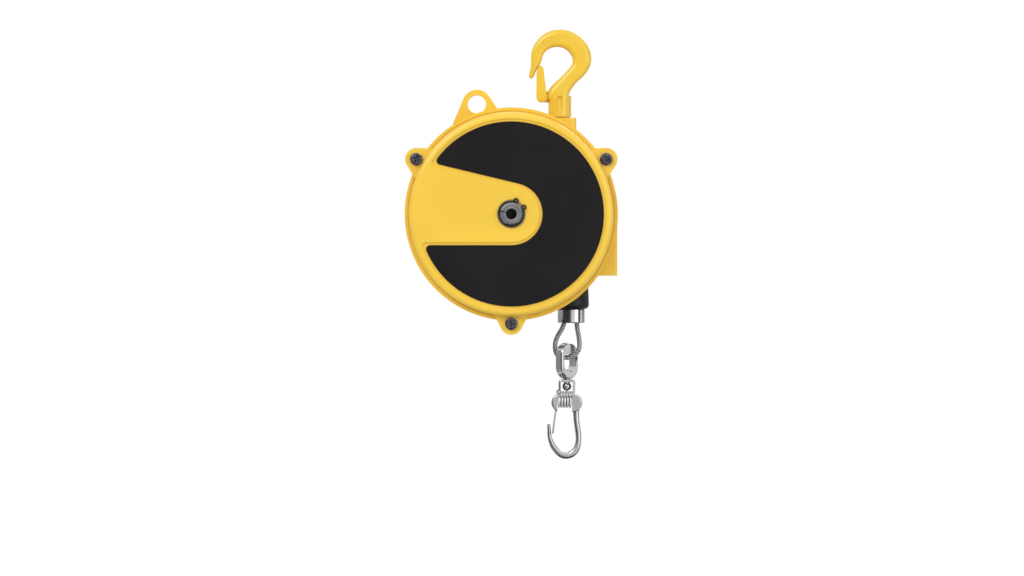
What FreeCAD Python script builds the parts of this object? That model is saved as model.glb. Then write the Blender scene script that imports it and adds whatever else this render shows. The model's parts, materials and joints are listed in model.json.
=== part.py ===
"""Hanging spring tool balancer.

A die-cast case hangs from a swivelling safety hook. A wire rope is wound on a grooved drum inside it,
and a flat spiral spring between the drum and the main shaft pays the rope out under load and winds it
back. The rope ends in a crimped loop with a swivel snap hook. Everything is drawn in millimetres about
the drum axis, +X right, +Y to the back and +Z up, and is moved on export so that the frame's origin is
the bowl seat of the top hook, straight above the hook's swivel axis.
"""
import FreeCAD, Part
import math
import os

V = FreeCAD.Vector
ACROSS = V(1, 0, 0)
DEPTH = V(0, 1, 0)
UP = V(0, 0, 1)

# ---- case ----
CAVITY_R = 62.0          # inside radius of the case
COVER_SIDE_WALL = 3.0    # side wall of the cover's raised front
BARREL_BACK_WALL = 3.0   # side wall of the rear case at its back
BARREL_DRAFT = 1.4       # how far casting draft widens the barrel towards its flange
FLANGE_LEDGE = 1.7       # joint flange, proud of the barrel
COVER_EDGE_ROUND = 3.0   # rounding of the cover's front edge
CASE_WALL = 4.0          # front and rear wall thickness
FRONT_Y = -30.0          # front face of the cover
PARTING_Y = -16.0        # joint between the cover and the rear case
REAR_Y = 30.0            # rear face of the case
COVER_FLANGE_T = 4.0
REAR_FLANGE_T = 3.4
BACK_EDGE_ROUND = 6.0
SPIGOT_GAP = 0.2         # the cover's spigot inside the rear case
SPIGOT_LENGTH = 2.0
SPIGOT_WALL = 1.6
GROOVE_WIDTH = 1.2       # groove round the foot of the cover's raised front
GROOVE_DEPTH = 0.6
RIB_COUNT = 6
RIB_WIDTH = 4.0
RIB_POCKET_INNER_R = 20.0
RIB_POCKET_OUTER_R = 54.0
RIB_POCKET_DEPTH = 1.6

# ---- cover screws ----
LUG_ANGLES = (30.0, 150.0, 270.0)
LUG_OUTSET = 1.9         # screw axes outside the joint flange
LUG_R = 7.2
LUG_ROOT = 1.0           # how deep a lug's root reaches into the case's wall
LUG_FOOT_HALF = 12.0
COVER_LUG_T = 7.0
REAR_LUG_T = 15.0
SCREW_HEAD_R = 4.0
SCREW_HEAD_T = 2.9
SCREW_R = 2.4
SCREW_HOLE_R = 2.7
SCREW_TAP_R = 2.5
SCREW_LENGTH = 18.0
RECESS_CROSS = 1.1       # width of the cross recess in the head
RECESS_CROSS_LENGTH = 4.6
RECESS_DEPTH = 1.5

# ---- label place ----
LABEL_R = 59.0
LABEL_HUB_R = 19.9       # the plain island round the shaft
LABEL_SLOPE = 13.5       # slope of the island's upper edge, degrees
LABEL_CORNER_R = 2.6
LABEL_MARGIN = 1.8
LABEL_RECESS = 1.0
LABEL_T = 0.6

# ---- safety eye ----
EYE_ANGLE = 107.37       # direction of the eye about the drum axis, degrees
EYE_OUTSET = 5.77        # the eye's axis outside the joint flange
EYE_HOLE_R = 5.85
EYE_LUG_R = 9.3
EYE_T = 8.0
EYE_FEET = (97.4, 124.0)    # directions in which the lug's flanks meet the flange, degrees

# ---- top hook ----
HOOK_X = 31.1            # swivel axis
HOOK_BOSS_HALF = 10.5
HOOK_BOSS_TOP = 61.6
HOOK_BOSS_BOTTOM = 53.5
HOOK_SEAT_GAP = 0.3
HOOK_SPOTFACE_R = 9.0
HOOK_STUD_R = 4.5
HOOK_STUD_CLEAR = 0.1
HOOK_BARREL_R = 7.3
HOOK_BARREL_TOP = 75.8
HOOK_BARREL_CHAMFER = 0.8
HOOK_RELIEF_R = 2.2
HOOK_RELIEF_OUT = 0.5    # the reliefs' axes, outside the barrel
HOOK_RELIEF_BOTTOM = 66.4
HOOK_NUT_FLATS = 13.0
HOOK_NUT_T = 6.0
HOOK_WASHER_R = 7.6
HOOK_WASHER_T = 1.2
HOOK_STUD_BELOW = 1.0    # the stud's end below its nut
BOWL_X = 29.2            # centre of the bowl's inside round
BOWL_Z = 97.2
BOWL_R = 10.3
BOWL_BACK_X = 31.9       # centre of the outside round, off the inside one
BOWL_BACK_Z = 99.2
BOWL_BACK_R = 19.2
BOWL_DEPTH = 11.4        # front to back
HOOK_NECK_DEPTH = 13.0
HOOK_NECK_ROOT = 2.5     # neck's root below the barrel's top
HOOK_NECK_TUCK = 0.8     # root's side inside the barrel's

# ---- hook latch ----
LATCH_X = 19.6
LATCH_Z = 75.2
LATCH_PIN_R = 1.5
LATCH_PIN_CLEAR = 0.05
LATCH_LUG_R = 3.2
LATCH_LUG_FOOT = 4.4     # half the height at which the lug meets the neck
LATCH_LUG_T = 3.2
LATCH_INSIDE = 8.2       # inside width of the channel
LATCH_SHEET = 1.1
LATCH_SWING = 30         # opening angle, degrees
LATCH_ROOM = 0.5         # room left for the cheeks in the hook's neck
LATCH_FOOT_R = 3.5
LATCH_SPRING_WIRE_R = 0.4
LATCH_SPRING_TURNS = 1.5

# ---- rope and drum ----
ROPE_R = 1.59
WINDING_R = 38.4         # drum axis to rope centre
ROPE_PITCH = 3.3
ROPE_TURNS = 7
ROPE_BED = 0.3           # the straight rope's clearance over the bottom of the drum's groove
DRUM_FLANGE_RISE = 4.1   # flange over the rope's centre line
DRUM_FLANGE_T = 1.8
DRUM_WALL = 3.2
DRUM_WEB_T = 2.6
DRUM_HUB_R = 13.0
DRUM_HUB_FRONT = 4.0     # hub length in front of the drum's front flange
DRUM_COVER_T = 2.4
DRUM_COVER_SCREWS = 4
DRUM_COVER_SCREW_R = 1.5
DRUM_COVER_SCREW_HEAD_R = 2.6
DRUM_COVER_SCREW_LENGTH = 8.0
DRUM_COVER_LEDGE = 3.4   # width of the ledge that the drum cover's screws go into

# ---- main shaft ----
SHAFT_R = 7.2
SHAFT_FRONT_Y = -34.0
SHAFT_REAR_Y = 33.0
SHAFT_CHAMFER = 0.9
SHAFT_RUNNING = 0.05     # radial running clearance in every bush
SOCKET_FLATS = 6.0
SOCKET_DEPTH = 12.0
SLIT_WIDTH = 0.9
SLIT_ANGLE = 165.0
SLIT_DEPTH = 8.0
CLIP_T = 1.2
CLIP_GAP = 0.1
CLIP_GROOVE_R = 6.3
CLIP_R = 8.3
CLIP_OPENING = 49.0      # direction of the circlip's opening, degrees
CLIP_EAR_SPREAD = 21.0
CLIP_EAR_CIRCLE = 9.0
CLIP_EAR_R = 1.7
CLIP_EAR_HOLE_R = 0.75
BUSH_R = 9.2
BUSH_FLANGE_R = 11.0
BUSH_FLANGE_T = 1.5
CASE_HUB_R = 13.0
CASE_HUB_FRONT = 6.0     # the cover's inside hub
KEY_WIDTH = 3.0
KEY_DEPTH = 2.0
SPACER_R = 10.0
END_FLOAT = 0.3          # axial play between what turns and what stands still

# ---- ratchet ----
RATCHET_TEETH = 24
RATCHET_R = 20.0
RATCHET_ROOT_R = 17.6
RATCHET_T = 6.4
PAWL_TOOTH_ANGLE = 75.0
PAWL_PIVOT_R = 31.5
PAWL_PIVOT_ANGLE = 42.0
PAWL_PIN_R = 1.5
PAWL_PIN_CLEAR = 0.05
PAWL_EYE_R = 3.6
PAWL_T = 5.0
PAWL_GAP = 0.3
PAWL_UNDERCUT = 1.8      # how far the nose's face falls back at its foot, degrees
PAWL_BOSS_R = 4.0
LEAF_T = 0.5
LEAF_POST = (31.5, 31.5)
LEAF_POST_R = 3.2
LEAF_STRAIGHT = 7.0      # straight run of the leaf from its post

# ---- power spring ----
STRIP_T = 0.6
STRIP_WIDTH = 15.0
SPRING_TURNS = 5.0
SPRING_INNER_R = 9.4
SPRING_SLOT = 1.0
ANCHOR_R = 2.0
ANCHOR_CLEAR = 0.1
ANCHOR_INSET = 4.1       # pin's axis inside the drum's cup

# ---- rope outlet ----
OUTLET_RIGHT_X = 67.8
OUTLET_BOTTOM_Z = -39.3
OUTLET_HALF = 13.0
OUTLET_WALL = 4.0
OUTLET_EDGE_ROUND = 1.5
POCKET_R = 12.3
POCKET_DEPTH = 11.17     # depth of the bumper's pocket, from where the rope crosses the barrel
POCKET_WALL = 3.0
GUIDE_R = 4.5
GUIDE_BORE_R = 2.0
GUIDE_LENGTH = 12.0
GUIDE_FLANGE_R = 7.0
GUIDE_FLANGE_T = 1.2
GUIDE_MOUTH_R = 3.6
BUMPER_R = 11.5
BUMPER_TOP_R = 10.9
BUMPER_LENGTH = 17.4
BUMPER_ROUND = 3.0
BUMPER_GAP = 0.3
ROPE_GRIP_CLEAR = 0.05

# ---- ferrule and rope loop ----
FERRULE_R = 8.7
FERRULE_LENGTH = 8.9
FERRULE_EDGE = 0.5
FERRULE_GRIP = 3.5       # rope inside the ferrule, at either end
STRAND_LEFT_X = 34.2
STRAND_RIGHT_X = 41.8
PENDANT_X = 35.6         # axis of the swivel and the snap hook
LOOP_R = 7.9
LOOP_NECK_DROP = 1.4     # below the ferrule
LOOP_SHOULDER_DROP = 12.9
LOOP_BOTTOM_DROP = 22.2
LOOP_LEFT_BEND_R = 4.4
LOOP_RIGHT_BEND_R = 8.0

# ---- swivel eye ----
STIRRUP_TURN = 42.0      # its plane is turned from across the rope loop, degrees
STIRRUP_WIDTH = 16.0
STIRRUP_T = 6.0
STIRRUP_ARM = 2.2
STIRRUP_CROWN = 9.4      # its top, above the rope it hangs on
STIRRUP_DROP = 9.2       # its floor, below that rope
STIRRUP_FLOOR_T = 4.5
STIRRUP_EDGE_ROUND = 1.2
STIRRUP_SADDLE_R = 3.4
ROPE_SEAT_GAP = 0.3
STEM_R = 2.0
STEM_CLEAR = 0.06
STEM_RIVET_R = 3.2
STEM_RIVET_T = 1.4
STEM_BALL_R = 2.85
STEM_BALL_DROP = 4.8     # ball centre below the stirrup

# ---- snap hook ----
SNAP_DEPTH = 8.8
SNAP_NECK_HALF = 5.3
SNAP_NECK_ROUND = 1.6
SNAP_TOP_GAP = 0.3
SNAP_BRIDGE_T = 1.7
SNAP_SHOULDER_R = 5.9
SNAP_SHOULDER_HALF = 4.0
SNAP_SHOULDER_DROP = 15.2   # shoulder centres below the stirrup
SNAP_BALL_ROOM = 3.1     # room below the ball's centre
SNAP_ROOM_HALF = 3.8
SNAP_WINDOW_LEFT = -6.1
SNAP_WINDOW_RIGHT = 3.4
SNAP_WINDOW_RISE = 5.2   # the spring's window, above the shoulder centres
SNAP_EDGE_ROUND = 1.1
GATE_PIVOT_X = -5.3      # from the swivel axis
GATE_PIVOT_RISE = 6.9    # above the shoulder centres
GATE_PIN_R = 0.9
GATE_PIN_CLEAR = 0.05
GATE_KNUCKLE_R = 1.6
GATE_T = 1.2
GATE_WIDTH = 5.4
GATE_SLOT = 5.9
GATE_SPRING_R = 3.7
GATE_SPRING_WIRE_R = 0.55
GATE_SPRING_PITCH = 2.9
GATE_SPRING_TURNS = 2.75
GATE_SPRING_RISE = 0.8

# The top hook's neck above its barrel: x, z, width and depth.
HOOK_NECK = [
    (30.6, 78.0, 13.6, 13.0), (33.4, 82.0, 10.9, 12.2),
    (38.0, 87.4, 9.6, 11.6), (42.6, 92.2, 10.4, 11.4),
]
# The top hook's tip below its bowl: x, z, width and depth.
HOOK_TIP = [(14.4, 93.4, 4.2, 7.0), (12.9, 89.0, 3.2, 5.4), (12.4, 87.3, 1.8, 3.6)]
# The hook latch's outline above its pivot, round from the left flank to the right one.
LATCH_LINE = [(16.2, 91.0), (17.1, 93.7), (18.1, 95.2), (19.4, 95.2), (20.6, 93.2)]
# The snap hook's arm, from the shoulder round to the tip: x from the swivel axis, drop below the
# shoulder centres, and thickness.
ARM = (
    (5.4, 0.3, 4.2),
    (6.0, 8.3, 3.8),
    (6.9, 16.6, 3.7),
    (7.5, 22.8, 3.7),
    (6.6, 28.5, 4.1),
    (3.5, 32.6, 4.4),
    (-0.8, 33.8, 4.4),
    (-4.9, 32.2, 4.3),
    (-8.3, 28.5, 3.8),
    (-10.6, 23.5, 2.9),
    (-11.4, 18.3, 2.3),
    (-11.6, 13.8, 1.9),
)
# The gate's centre line below its pivot: x and drop from the pivot.
GATE_LINE = ((-1.7, 11.6), (-2.8, 19.2), (-3.8, 26.8))

COVER_FACE_R = CAVITY_R + COVER_SIDE_WALL
BARREL_BACK_R = CAVITY_R + BARREL_BACK_WALL
BARREL_R = BARREL_BACK_R + BARREL_DRAFT
FLANGE_R = BARREL_R + FLANGE_LEDGE
LUG_CIRCLE_R = FLANGE_R + LUG_OUTSET
ROPE_X = WINDING_R
POCKET_TOP_Z = POCKET_DEPTH - math.sqrt(BARREL_R ** 2 - ROPE_X ** 2)
GUIDE_TOP_Z = POCKET_TOP_Z + GUIDE_LENGTH
BUMPER_TOP_Z = POCKET_TOP_Z - BUMPER_GAP
BUMPER_BOTTOM_Z = BUMPER_TOP_Z - BUMPER_LENGTH
FERRULE_TOP_Z = BUMPER_BOTTOM_Z
FERRULE_BOTTOM_Z = FERRULE_TOP_Z - FERRULE_LENGTH
LOOP_BOTTOM_Z = FERRULE_BOTTOM_Z - LOOP_BOTTOM_DROP
STIRRUP_TOP_Z = LOOP_BOTTOM_Z + STIRRUP_CROWN
STIRRUP_FLOOR_Z = LOOP_BOTTOM_Z - STIRRUP_DROP
STIRRUP_BOTTOM_Z = STIRRUP_FLOOR_Z - STIRRUP_FLOOR_T
STEM_BALL_Z = STIRRUP_BOTTOM_Z - STEM_BALL_DROP
SNAP_SHOULDER_Z = STIRRUP_BOTTOM_Z - SNAP_SHOULDER_DROP
GATE_PIVOT_Z = SNAP_SHOULDER_Z + GATE_PIVOT_RISE
COVER_INSIDE_Y = FRONT_Y + CASE_WALL
REAR_INSIDE_Y = REAR_Y - CASE_WALL
DRUM_FRONT_Y = -ROPE_PITCH / 2 - DRUM_FLANGE_T
DRUM_REAR_Y = (ROPE_TURNS - 0.5) * ROPE_PITCH + DRUM_FLANGE_T
DRUM_FLANGE_R = WINDING_R + DRUM_FLANGE_RISE
DRUM_CUP_R = WINDING_R - ROPE_R - ROPE_BED - DRUM_WALL
ANCHOR_CIRCLE = DRUM_CUP_R - ANCHOR_INSET
SPRING_OUTER_R = ANCHOR_CIRCLE - ANCHOR_R - ANCHOR_CLEAR - STRIP_T
DRUM_CUP_Y = DRUM_FRONT_Y + DRUM_WEB_T
DRUM_COVER_Y = DRUM_REAR_Y - DRUM_COVER_T
FRONT_BUSH_END_Y = COVER_INSIDE_Y + CASE_HUB_FRONT + BUSH_FLANGE_T
RATCHET_FRONT_Y = FRONT_BUSH_END_Y + END_FLOAT
RATCHET_REAR_Y = RATCHET_FRONT_Y + RATCHET_T
DRUM_HUB_FRONT_Y = DRUM_FRONT_Y - DRUM_HUB_FRONT
PAWL_PIVOT = (
    PAWL_PIVOT_R * math.cos(math.radians(PAWL_PIVOT_ANGLE)),
    PAWL_PIVOT_R * math.sin(math.radians(PAWL_PIVOT_ANGLE)),
)
BOWL_SEAT_Z = BOWL_Z + math.sqrt(BOWL_R ** 2 - (HOOK_X - BOWL_X) ** 2)


# ---------------------------------------------------------------- drawing helpers

def polar(radius, degrees):
    """A point (x, z) about the drum axis."""
    return radius * math.cos(math.radians(degrees)), radius * math.sin(math.radians(degrees))


def rod(radius, x, z, front, back):
    """A cylinder along the depth axis."""
    return Part.makeCylinder(radius, back - front, V(x, front, z), DEPTH)


def post(radius, x, y, bottom, top):
    """An upright cylinder."""
    return Part.makeCylinder(radius, top - bottom, V(x, y, bottom), UP)


def block(x0, x1, y0, y1, z0, z1):
    """A box between two corners."""
    return Part.makeBox(x1 - x0, y1 - y0, z1 - z0, V(x0, y0, z0))


def plate(points, front, back):
    """A closed outline of (x, z) points, extruded along the depth axis."""
    corners = [V(x, front, z) for x, z in points]
    wire = Part.makePolygon(corners + corners[:1])
    return Part.Face(wire).extrude(V(0, back - front, 0))


def turned(profile):
    """A closed profile of (radius, y) points, turned about the drum axis."""
    corners = [V(r, y, 0) for r, y in profile]
    wire = Part.makePolygon(corners + corners[:1])
    return Part.Face(wire).revolve(V(0, 0, 0), DEPTH, 360)


def ring(outer, inner, front, back, x=0.0, z=0.0):
    """A flat ring along the depth axis."""
    return rod(outer, x, z, front, back).cut(rod(inner, x, z, front, back))


def prism(flats, sides, front, back):
    """A regular prism about the drum axis, given its size across flats."""
    corner = flats / 2 / math.cos(math.pi / sides)
    return plate([polar(corner, (i + 0.5) * 360 / sides) for i in range(sides)], front, back)


def spun(shape, degrees):
    """The shape turned about the drum axis, anticlockwise as seen from the front."""
    copy = shape.copy()
    copy.rotate(V(0, 0, 0), DEPTH, -degrees)
    return copy


def tangent(centre, radius, point, side):
    """Where a line from the point touches the circle; side is +1 or -1."""
    dx, dz = point[0] - centre[0], point[1] - centre[1]
    spread = math.acos(radius / math.hypot(dx, dz))
    angle = math.atan2(dz, dx) + side * spread
    return centre[0] + radius * math.cos(angle), centre[1] + radius * math.sin(angle)


def tapered_lug(centre, radius, foot_a, foot_b, front, back):
    """A round lug whose two flanks run straight from the round to its feet."""
    touch_a = tangent(centre, radius, foot_a, 1)
    touch_b = tangent(centre, radius, foot_b, -1)
    web = plate([foot_a, touch_a, centre, touch_b, foot_b], front, back)
    return web.fuse(rod(radius, centre[0], centre[1], front, back)).removeSplitter()


def rounded_path(points, radii):
    """Straight runs through (x, z) points in the plane of the rope, joined by tangent arcs."""
    corners = [V(x, 0, z) for x, z in points]
    edges = []
    start = corners[0]
    for before, corner, after, radius in zip(corners, corners[1:], corners[2:], radii):
        back = (before - corner).normalize()
        ahead = (after - corner).normalize()
        half = back.getAngle(ahead) / 2
        run = radius / math.tan(half)
        middle = (back + ahead).normalize()
        arc_in = corner + back * run
        arc_out = corner + ahead * run
        crown = corner + middle * (radius / math.sin(half) - radius)
        if arc_in.distanceToPoint(start) > 1e-6:
            edges.append(Part.makeLine(start, arc_in))
        edges.append(Part.Arc(arc_in, crown, arc_out).toShape())
        start = arc_out
    edges.append(Part.makeLine(start, corners[-1]))
    return Part.Wire(edges)


def swept_rod(path, radius):
    """A round bar along a wire."""
    first = path.OrderedEdges[0]
    start = first.valueAt(first.FirstParameter)
    heading = first.tangentAt(first.FirstParameter)
    section = Part.Wire(Part.makeCircle(radius, start, heading))
    return path.makePipeShell([section], True, True)


def forged_bar(stations, roundness):
    """A smooth bar through stations of (x, z, width in the plane, depth), with rounded corners."""
    sections = []
    last = len(stations) - 1
    for i, (x, z, width, depth) in enumerate(stations):
        before = stations[max(i - 1, 0)]
        after = stations[min(i + 1, last)]
        heading = V(after[0] - before[0], 0, after[1] - before[1]).normalize()
        side = heading.cross(DEPTH)
        corner = roundness * min(width, depth) / 2
        sections.append(rounded_section(V(x, 0, z), side, width / 2, depth / 2, corner))
    return Part.makeLoft(sections, True, False)


def rounded_section(centre, side, half_width, half_depth, corner):
    """A rectangle with rounded corners, across a bar; side is its in-plane direction."""
    def at(across, deep):
        return centre + side * across + DEPTH * deep
    edges = []
    bow = corner * (1 - math.sqrt(0.5))
    for sx, sy in ((1, 1), (-1, 1), (-1, -1), (1, -1)):
        w, d = half_width, half_depth
        low = at(sx * w, sy * (d - corner))
        high = at(sx * (w - corner), sy * d)
        crown = at(sx * (w - bow), sy * (d - bow))
        first, second = (low, high) if sx * sy > 0 else (high, low)
        if edges:
            edges.append(Part.makeLine(edges[-1].valueAt(edges[-1].LastParameter), first))
        edges.append(Part.Arc(first, crown, second).toShape())
    last = edges[-1]
    edges.append(Part.makeLine(last.valueAt(last.LastParameter), edges[0].valueAt(edges[0].FirstParameter)))
    return Part.Wire(edges)


def export(name, *shapes):
    """Write one node, moved so that the origin is the hook's bowl seat."""
    solids = []
    for shape in shapes:
        for solid in shape.Solids:
            moved = solid.copy()
            moved.translate(V(-HOOK_X, 0, -BOWL_SEAT_Z))
            if not moved.isValid():
                print("not valid:", name)
            solids.append(moved)
    node = solids[0] if len(solids) == 1 else Part.makeCompound(solids)
    node.exportStep("parts/" + name + ".step")
    print(f"{name:24s} {len(solids)} solid(s) {node.Volume / 1000:9.3f} cm3")


# ---------------------------------------------------------------- case

def screw_lug(angle, front, back):
    """One cover-screw lug, at an angle round the case."""
    foot = CAVITY_R + LUG_ROOT / 2
    feet = ((foot, -LUG_FOOT_HALF), (foot, LUG_FOOT_HALF))
    lug = tapered_lug((LUG_CIRCLE_R, 0.0), LUG_R, feet[0], feet[1], front, back)
    inner = CAVITY_R - LUG_ROOT
    root = plate([feet[0], feet[1], (inner, LUG_FOOT_HALF), (inner, -LUG_FOOT_HALF)], front, back)
    return spun(lug.fuse(root), angle)


def label_shape(grow, front, back):
    """The label's C-shaped outline, grown by a margin."""
    island = LABEL_HUB_R - grow
    far = 2 * LABEL_R
    upper = polar(island, 90 - LABEL_SLOPE)
    slope = math.radians(LABEL_SLOPE)
    upper_far = (upper[0] - far * math.cos(slope), upper[1] + far * math.sin(slope))
    arm = plate([(0, 0), upper, upper_far, (-far, -island), (0, -island)], front, back)
    whole = rod(LABEL_R + grow, 0, 0, front, back).cut(arm).cut(rod(island, 0, 0, front, back))
    corners = [
        e for e in whole.Edges
        if e.BoundBox.YLength > (back - front) * 0.9
        and math.hypot(e.CenterOfMass.x, e.CenterOfMass.z) > LABEL_R - 1
        and e.CenterOfMass.x < 0
    ]
    return whole.makeFillet(LABEL_CORNER_R, corners)


def front_cover():
    """Shallow dished cover with a flange, three screw lugs, an inside hub and the label's recess."""
    spigot_r = CAVITY_R - SPIGOT_GAP
    flange_y = PARTING_Y - COVER_FLANGE_T
    body = turned([
        (0, FRONT_Y), (COVER_FACE_R, FRONT_Y), (COVER_FACE_R, flange_y + GROOVE_DEPTH),
        (COVER_FACE_R + GROOVE_WIDTH, flange_y + GROOVE_DEPTH), (COVER_FACE_R + GROOVE_WIDTH, flange_y),
        (FLANGE_R, flange_y), (FLANGE_R, PARTING_Y), (spigot_r, PARTING_Y),
        (spigot_r, PARTING_Y + SPIGOT_LENGTH), (spigot_r - SPIGOT_WALL, PARTING_Y + SPIGOT_LENGTH),
        (spigot_r - SPIGOT_WALL, COVER_INSIDE_Y), (CASE_HUB_R, COVER_INSIDE_Y),
        (CASE_HUB_R, COVER_INSIDE_Y + CASE_HUB_FRONT), (0, COVER_INSIDE_Y + CASE_HUB_FRONT),
    ])
    edge = [e for e in body.Edges if abs(e.BoundBox.YMin - FRONT_Y) < 1e-6 and e.BoundBox.YLength < 1e-6]
    body = body.makeFillet(COVER_EDGE_ROUND, edge)
    for angle in LUG_ANGLES:
        body = body.fuse(screw_lug(angle, PARTING_Y - COVER_LUG_T, PARTING_Y))
    x, z = PAWL_PIVOT
    boss_end = RATCHET_FRONT_Y + (RATCHET_T - PAWL_T) / 2 - PAWL_GAP
    body = body.fuse(rod(PAWL_BOSS_R, x, z, COVER_INSIDE_Y, boss_end))
    body = body.fuse(rod(LEAF_POST_R, LEAF_POST[0], LEAF_POST[1], COVER_INSIDE_Y, RATCHET_REAR_Y))
    body = body.cut(rod(PAWL_PIN_R, x, z, COVER_INSIDE_Y, boss_end))
    body = body.cut(leaf_strip(LEAF_T, RATCHET_FRONT_Y, RATCHET_REAR_Y))
    body = body.cut(label_shape(LABEL_MARGIN, FRONT_Y, FRONT_Y + LABEL_RECESS))
    body = body.cut(rod(BUSH_R, 0, 0, FRONT_Y, 0))
    for angle in LUG_ANGLES:
        x, z = polar(LUG_CIRCLE_R, angle)
        body = body.cut(rod(SCREW_HOLE_R, x, z, FRONT_Y, PARTING_Y))
    return body.removeSplitter()


def label_plate():
    """Thin bare plate in the cover's recess."""
    back = FRONT_Y + LABEL_RECESS
    return label_shape(0, back - LABEL_T, back)


def cover_screws():
    """Pan-head screws with a cross recess, one in each lug."""
    seat = PARTING_Y - COVER_LUG_T
    head = rod(SCREW_HEAD_R, LUG_CIRCLE_R, 0, seat - SCREW_HEAD_T, seat)
    rim = [e for e in head.Edges if abs(e.BoundBox.YMax - seat + SCREW_HEAD_T) < 1e-6]
    head = head.makeFillet(SCREW_HEAD_T * 0.5, rim)
    front = seat - SCREW_HEAD_T
    x = LUG_CIRCLE_R
    for w, h in ((RECESS_CROSS, RECESS_CROSS_LENGTH), (RECESS_CROSS_LENGTH, RECESS_CROSS)):
        head = head.cut(block(x - w / 2, x + w / 2, front, front + RECESS_DEPTH, -h / 2, h / 2))
    screw = head.fuse(rod(SCREW_R, x, 0, seat, seat + SCREW_LENGTH)).removeSplitter()
    return [spun(screw, angle) for angle in LUG_ANGLES]


def safety_eye():
    """The safety eye's lug, rooted in the case's wall."""
    half = EYE_T / 2
    right, left = [polar(FLANGE_R, angle) for angle in EYE_FEET]
    root_right, root_left = [polar(CAVITY_R + LUG_ROOT, angle) for angle in EYE_FEET]
    lug = tapered_lug(polar(FLANGE_R + EYE_OUTSET, EYE_ANGLE), EYE_LUG_R, right, left, -half, half)
    return lug.fuse(plate([right, left, root_left, root_right], -half, half))


def rear_case():
    """Deep rear casting: barrel, hook boss, safety eye, screw lugs, rope outlet and ribbed back."""
    flange_y = PARTING_Y + REAR_FLANGE_T
    shell = turned([
        (0, REAR_Y), (BARREL_BACK_R, REAR_Y), (BARREL_R, flange_y), (FLANGE_R, flange_y),
        (FLANGE_R, PARTING_Y), (0, PARTING_Y),
    ])
    rim = [e for e in shell.Edges if abs(e.BoundBox.YMin - REAR_Y) < 1e-6 and e.BoundBox.YLength < 1e-6]
    shell = shell.makeFillet(BACK_EDGE_ROUND, rim)
    envelope = shell.copy()
    outlet = block(0, OUTLET_RIGHT_X, -OUTLET_HALF + 1, OUTLET_HALF, OUTLET_BOTTOM_Z, 0)
    right = [e for e in outlet.Edges if abs(e.BoundBox.XMin - OUTLET_RIGHT_X) < 1e-6]
    outlet = outlet.makeFillet(OUTLET_EDGE_ROUND, [e for e in right if e.BoundBox.ZLength > 1])
    shell = shell.fuse(outlet)
    half = HOOK_BOSS_HALF
    boss = block(HOOK_X - half, HOOK_X + half, -half, half, 0, HOOK_BOSS_TOP)
    upright = [e for e in boss.Edges if e.BoundBox.ZLength > 1 and e.CenterOfMass.x > HOOK_X]
    shell = shell.fuse(boss.makeFillet(3.0, upright))
    shell = shell.fuse(safety_eye())
    for angle in LUG_ANGLES:
        shell = shell.fuse(screw_lug(angle, PARTING_Y, PARTING_Y + REAR_LUG_T))
    shell = shell.cut(rod(CAVITY_R, 0, 0, PARTING_Y, REAR_INSIDE_Y))
    shell = shell.cut(block(
        0, OUTLET_RIGHT_X - OUTLET_WALL, -OUTLET_HALF + OUTLET_WALL, OUTLET_HALF - OUTLET_WALL,
        OUTLET_BOTTOM_Z + OUTLET_WALL, 0,
    ))
    shell = shell.fuse(post(half, HOOK_X, 0, HOOK_BOSS_BOTTOM, HOOK_BOSS_TOP - 1))
    wall_r = POCKET_R + POCKET_WALL
    sleeve = post(wall_r, ROPE_X, 0, -FLANGE_R, POCKET_TOP_Z + POCKET_WALL)
    sleeve = sleeve.cut(rod(CAVITY_R, 0, 0, PARTING_Y, PARTING_Y + SPIGOT_LENGTH + SPIGOT_GAP))
    shell = shell.fuse(sleeve.common(envelope))
    shell = shell.cut(rear_pockets())
    shell = shell.cut(post(POCKET_R, ROPE_X, 0, -2 * FLANGE_R, POCKET_TOP_Z))
    shell = shell.cut(post(GUIDE_R, ROPE_X, 0, POCKET_TOP_Z, POCKET_TOP_Z + POCKET_WALL))
    shell = shell.cut(post(HOOK_STUD_R + HOOK_STUD_CLEAR, HOOK_X, 0, 0, HOOK_BOSS_TOP + 1))
    shell = shell.cut(post(HOOK_SPOTFACE_R, HOOK_X, 0, HOOK_BOSS_TOP, HOOK_BARREL_TOP))
    shell = shell.cut(post(HOOK_SPOTFACE_R - 0.5, HOOK_X, 0, DRUM_FLANGE_R, HOOK_BOSS_BOTTOM))
    x, z = polar(FLANGE_R + EYE_OUTSET, EYE_ANGLE)
    shell = shell.cut(rod(EYE_HOLE_R, x, z, -EYE_T, EYE_T))
    shell = shell.cut(rod(BUSH_R, 0, 0, 0, REAR_Y))
    for angle in LUG_ANGLES:
        x, z = polar(LUG_CIRCLE_R, angle)
        shell = shell.cut(rod(SCREW_TAP_R, x, z, PARTING_Y, PARTING_Y + REAR_LUG_T - 3))
    return shell.removeSplitter()


def rear_pockets():
    """Shallow pockets in the back face that leave a hub, a rim and radial ribs."""
    front = REAR_Y - RIB_POCKET_DEPTH
    pockets = ring(RIB_POCKET_OUTER_R, RIB_POCKET_INNER_R, front, REAR_Y)
    for i in range(RIB_COUNT):
        rib = block(0, RIB_POCKET_OUTER_R + 1, front, REAR_Y, -RIB_WIDTH / 2, RIB_WIDTH / 2)
        pockets = pockets.cut(spun(rib, i * 360 / RIB_COUNT + 30))
    return pockets


# ---------------------------------------------------------------- shaft and bushes

def front_bush():
    """Flanged bush pressed into the cover's hub."""
    body = rod(BUSH_R, 0, 0, FRONT_Y, COVER_INSIDE_Y + CASE_HUB_FRONT)
    body = body.fuse(rod(BUSH_FLANGE_R, 0, 0, COVER_INSIDE_Y + CASE_HUB_FRONT, FRONT_BUSH_END_Y))
    return body.cut(rod(SHAFT_R + SHAFT_RUNNING, 0, 0, FRONT_Y, 0))


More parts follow.
